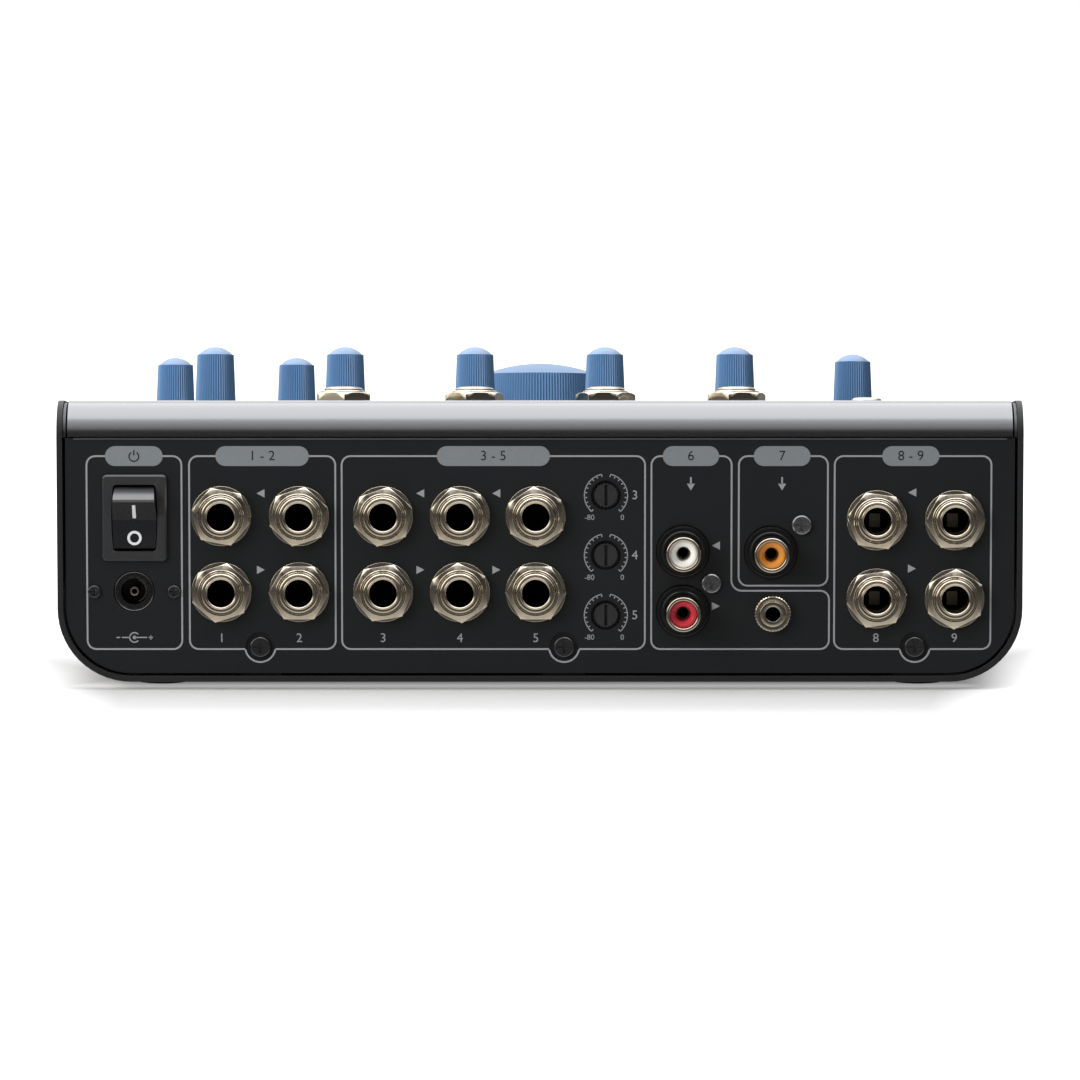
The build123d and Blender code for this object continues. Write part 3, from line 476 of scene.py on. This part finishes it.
def print_ink(name, sheet, place, finish, height=ink_height, body="case"):
    """Gives a sheet of print the ink's thickness and fixes it on its face."""
    face_up(sheet)
    bmesh.ops.translate(sheet, vec=(0, 0, height), verts=sheet.verts)
    deepen(sheet, height)
    fit(name, sheet, [place], finish, body)


panel_coat = mottled("panel_coat", 40, (0.0082, 0.0090, 0.0102), (0.0104, 0.0114, 0.0127),
                     {"Specular IOR Level": 0.32})
texture(panel_coat, grain(panel_coat, 0.22), least=0.36, spread=0.2, depth=0.02, strength=0.45)
dress("rear_panel", panel_coat, edge=0.08)

flat_ink = {"Roughness": 0.55, "Specular IOR Level": 0.3}
satin_ink = {"Roughness": 0.5, "Specular IOR Level": 0.3}
grey_ink = mottled("grey_ink", 0.6, (0.24, 0.245, 0.26), (0.29, 0.295, 0.31), flat_ink)
plate_ink = mottled("plate_ink", 1.2, (0.166, 0.181, 0.192), (0.187, 0.204, 0.215), flat_ink)
black_ink = mottled("black_ink", 0.6, (0.010, 0.011, 0.012), (0.016, 0.017, 0.018), satin_ink)

# The boxes round each group of sockets, with an arc round each screw that stands in a box's line.
box_line = 0.42
box_corner = 2.3
box_top = 54.2
box_bottom = 7.6
lines = bmesh.new()
for left, right in ((-108.1, -85.1), (-83.7, -48.5), (-47.4, 25.2), (69.9, 107.6)):
    box = line_round(rectangle(right - left, box_top - box_bottom, box_corner), box_line)
    add(lines, box, (left + right) / 2, (box_top + box_bottom) / 2)
dimple_reach = 3.6
dimple_height = 8.3
highest_crossed = 12
for dimple_x in (-66.7, 5.75, 89.355):
    for side in (-1, 1):
        everything = lines.verts[:] + lines.edges[:] + lines.faces[:]
        cut = (side * dimple_reach + dimple_x, 0, 0)
        bmesh.ops.bisect_plane(lines, geom=everything, plane_co=cut, plane_no=(1, 0, 0))
    middles = {face: face.calc_center_median() for face in lines.faces}
    crossed = [face for face, middle in middles.items()
               if middle.y < highest_crossed and abs(middle.x - dimple_x) < dimple_reach]
    bmesh.ops.delete(lines, geom=crossed, context="FACES")
    add(lines, arc(dimple_reach, box_line, 190, 160), dimple_x, dimple_height)
aux_box = ((26.3, box_top), (26.3, box_bottom), (69.1, box_bottom), (69.1, 22.0), (45.8, 22.0),
           (45.8, box_top))
digital_box = ((47.1, box_top), (47.1, 22.8), (68.7, 22.8), (68.7, box_top))
for corners in (aux_box, digital_box):
    add(lines, line_round(rounded([(x, y, box_corner) for x, y in corners]), box_line))

# The marks beside the sockets: a channel's left arrow above its right one, and input arrows.
channel_arrows = ((-66.5, 45.1, 26.8), (-28.5, 45.1, 26.8), (-10.4, 45.1, 26.8), (88.6, 45.3, 27.1),
                  (41.9, 32.6, 18.1))
for x, left_height, right_height in channel_arrows:
    add(lines, arrow(1.9, 2.0), x, left_height, 180)
    add(lines, arrow(1.9, 2.0), x, right_height)
figure_height = 2.1
column_height = 10.4
column_numbers = ((-75.9, "1"), (-57.4, "2"), (-37.4, "3"), (-19.1, "4"), (-1.0, "5"), (80.1, "8"),
                  (98.8, "9"))
for x, text in column_numbers:
    add(lines, number(text, figure_height), x, column_height)
for x in (35.9, 57.6):
    add(lines, stroke(x, 49.0, x, 47.2, 0.4))
    add(lines, arrow(1.6, 1.9), x, 46.6, -90)

# The trims' dials, each from -80 to 0 with a gap at the top, and the inlet's polarity sign.
dial_x = 15.7
dial_inner = 4.5
dial_outer = 5.15
dial_gap = 12
dial_step = 14
dial_steps = 9
end_height = 1.25
for height, text in ((44.6, "3"), (30.25, "4"), (15.9, "5")):
    for side in (-1, 1):
        sweep = side * dial_step * dial_steps
        add(lines, arc(dial_outer, 0.22, 90 + side * dial_gap, sweep), dial_x, height)
        for step in range(dial_steps + 1):
            degrees = 90 + side * (dial_gap + dial_step * step)
            tick(lines, degrees, dial_inner, dial_outer, 0.24, dial_x, height)
    add(lines, number("-80", end_height), dial_x - 3.9, height - 5.3)
    add(lines, number("0", end_height), dial_x + 3.9, height - 5.3)
    add(lines, number(text, figure_height), dial_x + 6.9, height)
polarity = [stroke(*ends, 0.28) for ends in (
    (-3.0, 0, -1.15, 0), (0.2, 0, 3.0, 0), (-4.3, 0, -3.4, 0), (3.4, 0, 4.4, 0), (3.9, -0.5, 3.9, 0.5),
)]
polarity += [arc(1.15, 0.3, 40, 280), arc(0.22, 0.44, 0, 360, steps=16)]
for mark in polarity:
    add(lines, mark, -96.7, 10.6)
print_ink("panel_print", lines, rear(0, 0), grey_ink)

# Painted highlight: a strip of lighter metal laid on the panel's face along its top, partly the bare cut
# edge and partly the light line that the rounded edge catches.
bare_edge_highlight = mottled("bare_edge_highlight", 1.5, (0.15, 0.15, 0.155), (0.25, 0.25, 0.26),
                   {"Metallic": 0.8, "Roughness": 0.4}, (6, 1, 1))
edge_highlight_line = bmesh.new()
add(edge_highlight_line, stroke(-111, 58.1, 111, 58.1, 0.36))
print_ink("panel_edge_highlight", edge_highlight_line, rear(0, 0), bare_edge_highlight)
# Painted shade: a black strip set just behind the seam under the cover's lip, so that the gap reads as dark
# as the shade inside the box.
shade_felt = mottled("black_seam_shade", 0.5, (0.008, 0.008, 0.008), (0.014, 0.014, 0.014),
               {"Roughness": 0.95, "Specular IOR Level": 0.1})
seam_shade_strip = bmesh.new()
add(seam_shade_strip, stroke(-108, 59.5, 108, 59.5, 4))
deepen(seam_shade_strip, 0.8)
fit("seam_shade_strip", seam_shade_strip, [rear(0, 0, -2.0)], shade_felt)

title_height = 54.0
plate_height = 4.75
plate_corner = 2.36
power_x = -96.6
titles = ((power_x, 13.7, ""), (-66.1, 22.2, "1 - 2"), (-11.1, 26.9, "3 - 5"), (35.9, 13.4, "6"),
          (57.6, 13.5, "7"), (88.2, 13.6, "8 - 9"))
plates = bmesh.new()
marks = bmesh.new()
for x, width, text in titles:
    add(plates, rectangle(width, plate_height, plate_corner), x, title_height)
    if text:
        add(marks, number(text, 2.3), x, title_height)
add(marks, arc(1.15, 0.32, 125, 290), power_x, title_height - 0.1)
add(marks, stroke(0, 0.25, 0, 1.55, 0.32), power_x, title_height - 0.1)
print_ink("title_plates", plates, rear(0, 0), plate_ink, 1.5 * ink_height)
print_ink("title_marks", marks, rear(0, 0), black_ink, 2 * ink_height)

# ---- Screws ----
# Cross-head steel screws, blackened. The three in the rear panel sit in pressed dimples; those in the
# floor pull the cover's flange down, and the small ones hold the RCA and DC housings.


def screw_steel(name, dark, light):
    """Blackened steel, its black a little worn away."""
    finish = mottled(name, 0.5, (dark, dark, dark * 1.04), (light, light, light * 1.03),
                     {"Metallic": 0.9, "Specular IOR Level": 0.5})
    texture(finish, grain(finish, 0.5), least=0.14, spread=0.14, depth=0.01, strength=0.4)
    return finish


black_steel = screw_steel("black_steel", 0.07, 0.14)
worn_steel = screw_steel("worn_steel", 0.20, 0.34)
for node in ("panel_screws", "base_screws", "dc_inlet_screws"):
    dress(node, black_steel, edge=0.06)
dress("rca_screws", worn_steel, edge=0.06)

# ---- 6.35 mm sockets ----
# Turned brass bushings, nickel-plated, screwed through the panel into moulded black bodies. Each has
# a flat washer and a hexagon nut with thin rings turned on its face. A sprung contact shows deep in the
# bores of the four inputs.
nickel = mottled("nickel", 4.0, (0.64, 0.57, 0.46), (0.75, 0.68, 0.56), {"Metallic": 1.0})
texture(nickel, grain(nickel, 0.16, detail=4.0), least=0.08, spread=0.12, depth=0.012, strength=0.5)
dress("jack_nuts", nickel, edge=0.09)
dress("jack_washers", nickel, edge=0.1)


def turned(outline, steps=48):
    """Shape turned on a lathe about Z. Its outline is radii and heights, and closes on itself."""
    shape = bmesh.new()
    points = [shape.verts.new((radius, 0, height)) for radius, height in outline]
    edges = [shape.edges.new(pair) for pair in zip(points, points[1:])]
    if outline[0][0] and outline[-1][0]:
        edges.append(shape.edges.new((points[-1], points[0])))
    bmesh.ops.spin(shape, geom=points + edges, cent=(0, 0, 0), axis=(0, 0, 1), angle=2 * pi,
                   steps=steps, use_merge=True)
    bmesh.ops.remove_doubles(shape, verts=shape.verts, dist=0.0001)
    bmesh.ops.recalc_face_normals(shape, faces=shape.faces)
    return shape


bore_radius = 3.25
thread_radius = 4.7
thread_root = 4.42
thread_top = 3.6
thread_pitch = 0.7
bushing_end = -3.0
bushing_outline = [
    (bore_radius, bushing_end), (bore_radius, 3.66), (3.3, 3.84), (3.42, 3.96), (3.55, 4.02), (3.7, 4.06),
    (3.86, 4.0), (3.95, 3.86), (3.97, 3.66), (4.08, 3.66), (4.12, 3.82), (4.28, 3.86), (4.5, 3.8),
    (4.64, 3.68), (thread_radius, thread_top),
]
for turn in range(9):
    height = thread_top - thread_pitch * turn
    bushing_outline += [(thread_radius, height - 0.15), (thread_root, height - 0.32),
                        (thread_root, height - 0.38), (thread_radius, height - 0.55)]
bushing_outline += [(thread_radius, bushing_end)]
output_places = [(x, height) for x in (75.9, 57.385, 37.375, 19.09, 1.035) for height in (39.7, 21.5)]
input_places = [(x, height) for x in (-80.155, -98.785) for height in (38.7, 20.0)]
rear_places = [rear(x, height) for x, height in output_places + input_places]
fit("rear_bushings", turned(bushing_outline, steps=56), rear_places, nickel,
    hides=["rear_jack_bushings"])

slope = radians(6)
top_corner = (0.0763, 0.0696)


def top(x, distance, out=0.0):
    """Place on the cover, so far along it from its rear corner. X runs right, Y back and Z up, in mm."""
    corner = Matrix.Translation((x * mm, *top_corner)) @ Matrix.Rotation(slope, 4, "X")
    return corner @ Matrix.Translation((0, -distance * mm, out * mm)) @ Matrix.Scale(mm, 4)


phones_xs = (-47.851, -15.951, 15.951, 47.851)
phones_row = 37.5
phones_places = [top(x, phones_row) for x in phones_xs]
phones_bushing_end = -2.9
phones_outline = [(radius, max(height, phones_bushing_end)) for radius, height in bushing_outline]
fit("phones_bushings", turned(phones_outline, steps=56), phones_places, nickel,
    hides=["phones_jack_bushings"])

bead_outline = [(4.75, 2.7), (4.75, 3.14), (4.86, 3.2), (5.0, 3.2), (5.1, 3.1), (5.16, 2.99), (5.24, 2.99),
                (5.33, 3.06), (5.45, 3.06), (5.56, 2.95), (5.6, 2.7)]
fit("nut_beads", turned(bead_outline, steps=56), rear_places + phones_places, nickel)

moulded_black = mottled("moulded_black", 8, (0.010, 0.010, 0.011), (0.016, 0.016, 0.017),
                        {"Specular IOR Level": 0.4})
texture(moulded_black, grain(moulded_black, 0.3), least=0.42, spread=0.2, depth=0.02, strength=0.5)
dress("rear_jack_bodies", moulded_black, edge=0.2)
dress("phones_jack_bodies", moulded_black, edge=0.2)

spring_steel = mottled("spring_steel", 1.0, (0.20, 0.17, 0.13), (0.30, 0.26, 0.21), {"Metallic": 1.0})
texture(spring_steel, grain(spring_steel, 0.2), least=0.25, spread=0.15)
contact = bmesh.new()
add(contact, rectangle(2.6, 3.3, 0.3))
deepen(contact, 4)
bent_edge = stroke(-1.15, -1.4, -1.15, 1.5, 0.35)
deepen(bent_edge, 1)
add(contact, bent_edge, z=0.5)
contact_places = [rear(x, height - 0.9, -9) for x, height in input_places]
fit("contact_springs", contact, contact_places, spring_steel)

# ---- RCA and 3.5 mm sockets ----
# Moulded black housings with round bosses through the panel. Each RCA boss holds a rolled nickel
# sleeve about a coloured plastic insulator; the 3.5 mm socket has a round knurled nut.
socket_black = mottled("socket_black", 4, (0.003, 0.003, 0.0035), (0.0045, 0.0045, 0.005),
                       {"Specular IOR Level": 0.6})
texture(socket_black, grain(socket_black, 0.3), least=0.26, spread=0.12)
dress("aux_rca_housing", socket_black, edge=0.2)
dress("digital_rca_housing", socket_black, edge=0.2)
dress("rca_sleeves", nickel, edge=0.12)
dress("mini_jack_bushing", nickel, edge=0.06)
dress("mini_jack_nut", nickel, edge=0.06)
dress("mini_jack_body", moulded_black, edge=0.2)

rca_places = {"white": rear(-34.04, 31.2), "red": rear(-34.04, 16.9), "orange": rear(-54.97, 31.0)}
boss_ring = turned([(4.3, 0.9), (4.3, 1.35), (4.45, 1.5), (4.8, 1.5), (4.95, 1.35), (4.95, 1.1),
                    (5.5, 1.1), (5.7, 1.3), (5.95, 1.25), (6.1, 1.0), (6.1, 0.9)])
fit("boss_rings", boss_ring, rca_places.values(), socket_black)
pin_contact = turned([(1.6, -2.9), (1.6, 2.6), (1.5, 2.75), (1.3, 2.75), (1.2, 2.6), (1.2, -2.9)], steps=32)
fit("pin_contacts", pin_contact, rca_places.values(), spring_steel)

insulator = turned([(3.28, -3.0), (3.28, 6.75), (3.15, 6.95), (2.9, 7.0), (2.55, 6.97), (2.35, 6.85),
                    (2.25, 6.5), (1.95, 6.4), (1.75, 6.1), (1.65, 5.6), (1.65, -3.0)])
insulator_colours = {
    "white": ((0.76, 0.75, 0.70), (0.84, 0.83, 0.79)),
    "red": ((0.42, 0.02, 0.035), (0.52, 0.03, 0.045)),
    "orange": ((0.58, 0.22, 0.03), (0.68, 0.28, 0.04)),
}
for colour, (dark, light) in insulator_colours.items():
    plastic = mottled(f"{colour}_plastic", 2.5, dark, light, {"Specular IOR Level": 0.5})
    texture(plastic, grain(plastic, 0.4), least=0.2, spread=0.12)
    fit(f"{colour}_ring", insulator, [rca_places[colour]], plastic,
        hides=[f"{colour}_insulator"])

# ---- DC inlet and power switch ----
# A moulded barrel inlet with a hollow nickel pin, a bent contact and a thin dark rim, and a snap-in
# rocker switch: a satin frame, and a rocker with a glossy upper face, its I and O printed in white.
dc_x, dc_height = 96.715, 21.6
dc_place = rear(dc_x, dc_height)
dress("dc_inlet_body", socket_black, edge=0.2)
dc_pin = turned([(1.1, -9.3), (1.1, -1.35), (1.04, -1.22), (0.9, -1.18), (0.66, -1.22), (0.58, -1.4),
                 (0.58, -9.3)])
fit("dc_pin", dc_pin, [dc_place], nickel, hides=["dc_inlet_pin"])
dc_rim = turned([(4.66, -0.32), (4.66, -0.1), (4.6, -0.06), (4.54, -0.1), (4.38, -0.3)], steps=64)
fit("dc_rim", dc_rim, [dc_place], black_steel)

frame_plastic = mottled("frame_plastic", 6, (0.018, 0.019, 0.0205), (0.025, 0.026, 0.028),
                        {"Specular IOR Level": 0.9})
texture(frame_plastic, grain(frame_plastic, 0.25), least=0.28, spread=0.16, depth=0.015, strength=0.5)
dress("power_switch_frame", frame_plastic, edge=0.15)
rocker_plastic = mottled("rocker_plastic", 5, (0.011, 0.0115, 0.0125), (0.016, 0.0165, 0.018),
                         {"Specular IOR Level": 0.2, "Coat Roughness": 0.35, "Coat IOR": 2.0})
texture(rocker_plastic, grain(rocker_plastic, 0.3), least=0.22, spread=0.14, depth=0.008, strength=0.4)
gloss_lowest = 0.0454
rocker_z = rocker_plastic.split(rocker_plastic.place())[2]
rocker_plastic.set({"Coat Weight": rocker_z > gloss_lowest})
dress("power_rocker", rocker_plastic, edge=0.35)

white_ink = mottled("white_ink", 0.5, (0.58, 0.59, 0.6), (0.7, 0.71, 0.72), satin_ink)
rocker_tilt = radians(17)
rocker_valley = 1.8
face_slope = radians(21.06)
rocker_pivot = rear(96.485, 39.3, -0.8) @ Matrix.Rotation(rocker_tilt, 4, "X")
valley = rocker_pivot @ Matrix.Translation((0, 0, rocker_valley))
upper_face = valley @ Matrix.Rotation(face_slope, 4, "X") @ Matrix.Translation((0, 2.77, 0))
lower_face = valley @ Matrix.Rotation(-face_slope, 4, "X") @ Matrix.Translation((0, -4.25, 0))
on_mark = rectangle(0.8, 4.2, 0.1)
off_mark = arc(1.4, 0.62, 0, 360, steps=40)
print_ink("on_mark", on_mark, upper_face, white_ink, body="power_rocker")
print_ink("off_mark", off_mark, lower_face, white_ink, body="power_rocker")

# The inlet's bent contact, which stands deep in its barrel.
dc_contact = arc(2.75, 0.35, -70, 140)
deepen(dc_contact, 4)
fit("dc_contact", dc_contact, [rear(dc_x, dc_height, -2.6)], spring_steel)

# ---- Speaker trims ----
# Slotted plastic rotors, one for each speaker pair, each turning in the top of a small potentiometer
# just behind the panel.
trim_plastic = mottled("trim_plastic", 1.5, (0.016, 0.016, 0.018), (0.028, 0.028, 0.03),
                       {"Specular IOR Level": 0.5})
texture(trim_plastic, grain(trim_plastic, 0.3), least=0.3, spread=0.15)
for index in range(3):
    dress(f"speaker_trim_{index + 1}", trim_plastic, edge=0.06)

# ---- Knobs ----
# Moulded blue knobs with fine grip ribs and a smooth domed cap, pushed on plain aluminium shafts. A
# white line in the cap's groove shows where each one points, on a scale printed round it in white.


def knob_plastic(name, coat):
    """Moulded blue plastic, with as much of a glossy skin as its coat says."""
    finish = mottled(name, 6, (0.118, 0.252, 0.470), (0.138, 0.282, 0.510), {
        "Specular IOR Level": 0.5, "Coat Weight": coat, "Coat Roughness": 0.25, "Coat IOR": 1.6,
    })
    texture(finish, grain(finish, 0.25), least=0.32, spread=0.16, depth=0.012, strength=0.4)
    return finish


knob_row = 57.5
small_knob_places = {
    "phones_knob_1": (-48.007, knob_row), "phones_knob_2": (-16.002, knob_row),
    "phones_knob_3": (16.002, knob_row), "phones_knob_4": (48.007, knob_row),
    "cue_knob": (80.011, knob_row), "talkback_knob": (-79.5, 106.0),
    "input_knob_1": (62.79, 130.5), "input_knob_2": (94.07, 130.5),
}
main_row = 115
rib_crease = 40
knob_blue = knob_plastic("knob_blue", coat=0.8)
main_knob_blue = knob_plastic("main_knob_blue", coat=0.15)
for node in small_knob_places:
    dress(node, knob_blue, edge=0.05, crease=rib_crease)
dress("main_knob", main_knob_blue, edge=0.05, crease=rib_crease)
aluminium = mottled("aluminium", 0.2, (0.6, 0.6, 0.6), (0.7, 0.7, 0.71), {"Metallic": 1.0}, (8, 8, 1))
texture(aluminium, grain(aluminium, 0.2, (8, 8, 1)), least=0.25, spread=0.2)
dress("main_shaft", aluminium)
dress("potentiometer_bodies", moulded_black, edge=0.2)

pointer_white = mottled("pointer_white", 0.8, (0.74, 0.75, 0.76), (0.84, 0.85, 0.86),
                        {"Roughness": 0.45, "Specular IOR Level": 0.4})
knob_rest_turn = radians(150)
knob_gap = 0.6
groove_width = 0.76
groove_depth = 0.2


def pointer(body, place, cap_radius, cap_centre, reach):
    """White line in the groove of a domed cap, from the cap's middle outwards by a reach in degrees."""
    shape = bmesh.new()
    ends = [shape.verts.new((side * groove_width / 2, 0, cap_radius)) for side in (-1, 1)]
    edge = shape.edges.new(ends)
    bmesh.ops.spin(shape, geom=ends + [edge], cent=(0, 0, 0), axis=(1, 0, 0), angle=-radians(reach),
                   steps=10)
    face_up(shape)
    deepen(shape, groove_depth)
    at_rest = place @ Matrix.Rotation(knob_rest_turn, 4, "Z") @ Matrix.Translation((0, 0, cap_centre))
    fit(f"{body}_pointer", shape, [at_rest], pointer_white, body)


for body, (x, distance) in small_knob_places.items():
    pointer(body, top(x, distance, knob_gap), cap_radius=5.49, cap_centre=8.41, reach=39)
pointer("main_knob", top(0, main_row, knob_gap), cap_radius=39.12, cap_centre=-27.32, reach=18.4)

scales = bmesh.new()
scale_start = 240
small_step = 30
main_step = 10
for x, distance in small_knob_places.values():
    for step in range(11):
        tick(scales, scale_start - small_step * step, 6.3, 7.3, 0.3, x, -distance)
for step in range(31):
    tick_end = 18.4 if step % 3 == 0 else 17.6
    tick(scales, scale_start - main_step * step, 16.6, tick_end, 0.35, 0, -main_row)
top_figure = 2.2
for x, text in zip(phones_xs, "1234"):
    add(scales, number(text, top_figure), x + 9.5, -phones_row)
add(scales, number("0", top_figure), 0, -93.5)
for x, text in zip((-56, -42, -28, 28, 42, 56), "123456"):
    add(scales, number(text, top_figure), x, -106.3)
print_ink("top_print", scales, top(0, 0), white_ink)

# ---- Buttons, meter and microphone ----
# Grey moulded keys stand through square windows in the cover. The level meter is a smoked window
# flush with it, and the talkback microphone sits under a small pressed grille.
button_grey = mottled("button_grey", 4, (0.27, 0.28, 0.30), (0.32, 0.33, 0.35),
                      {"Specular IOR Level": 0.4})
texture(button_grey, grain(button_grey, 0.3), least=0.42, spread=0.2, depth=0.012, strength=0.5)
keys = [f"{group}_button_{index + 1}" for group in ("source", "speaker") for index in range(3)]
keys += ["mono_button", "dim_button", "mute_button", "talkback_button"]
for node in keys:
    dress(node, button_grey, edge=0.08)

meter_lens = mottled("meter_lens", 5, (0.010, 0.010, 0.012), (0.016, 0.016, 0.018),
                     {"Specular IOR Level": 0.5})
texture(meter_lens, grain(meter_lens, 1.0), least=0.08, spread=0.08)
dress("meter_window", meter_lens, edge=0.1)
meter_colours = {
    "green": (range(0, 12), (0.03, 0.16, 0.05), (0.05, 0.22, 0.07)),
    "amber": (range(12, 16), (0.30, 0.19, 0.02), (0.38, 0.25, 0.04)),
    "red": (range(16, 18), (0.28, 0.02, 0.02), (0.36, 0.035, 0.03)),
}
bar_step = 3.0
bars_left = -25.5
meter_place = top(0, 78, 0.3)
for colour, (segments, dark, light) in meter_colours.items():
    bars = bmesh.new()
    for segment in segments:
        for row in (-1.5, 1.5):
            add(bars, rectangle(2.2, 1.4, 0.2), bar_step * segment + bars_left, row)
    bar_plastic = mottled(f"meter_{colour}", 0.8, dark, light,
                          {"Roughness": 0.3, "Specular IOR Level": 0.5})
    print_ink(f"meter_{colour}", bars, meter_place, bar_plastic)

grille_metal = mottled("grille_metal", 1.0, (0.62, 0.62, 0.6), (0.74, 0.74, 0.72), {"Metallic": 1.0})
texture(grille_metal, grain(grille_metal, 0.2), least=0.3, spread=0.15)
dress("mic_grille", grille_metal, edge=0.06)
# Painted shade: flush black discs on the grille stand in for its holes and the dark behind them.
grille_hole_shade = bmesh.new()
for ring, count in ((0, 1), (1.05, 6), (2.1, 12)):
    for index in range(count):
        angle = 2 * pi * index / count
        add(grille_hole_shade, arc(0.2, 0.4, 0, 360, steps=12), ring * cos(angle), ring * sin(angle))
print_ink("grille_hole_shade", grille_hole_shade, top(-80, 46, 1.7), black_ink, height=0.02)

# ---- Boards and feet ----
# Green circuit boards on turned standoffs carry the key switches and sockets, and a flat grey cable
# joins them. Four moulded rubber feet are stuck to the floor.
board_green = mottled("board_green", 3, (0.012, 0.09, 0.045), (0.02, 0.13, 0.065),
                      {"Specular IOR Level": 0.5})
texture(board_green, grain(board_green, 0.5), least=0.3, spread=0.15)
ribbon_grey = mottled("ribbon_grey", 1.0, (0.30, 0.30, 0.31), (0.46, 0.46, 0.47),
                      {"Specular IOR Level": 0.4}, (1, 12, 12))
texture(ribbon_grey, grain(ribbon_grey, 0.5), least=0.42, spread=0.15)
foot_rubber = mottled("foot_rubber", 0.4, (0.016, 0.016, 0.016), (0.03, 0.03, 0.03),
                      {"Specular IOR Level": 0.3})
texture(foot_rubber, grain(foot_rubber, 0.4), least=0.7, spread=0.2, depth=0.03, strength=0.6)
dress("control_board", board_green)
dress("rear_board", board_green)
dress("key_switches", moulded_black, edge=0.1)
dress("board_standoffs", aluminium, edge=0.1)
dress("ribbon_cable", ribbon_grey, edge=0.1)
dress("rubber_feet", foot_rubber, edge=0.3)
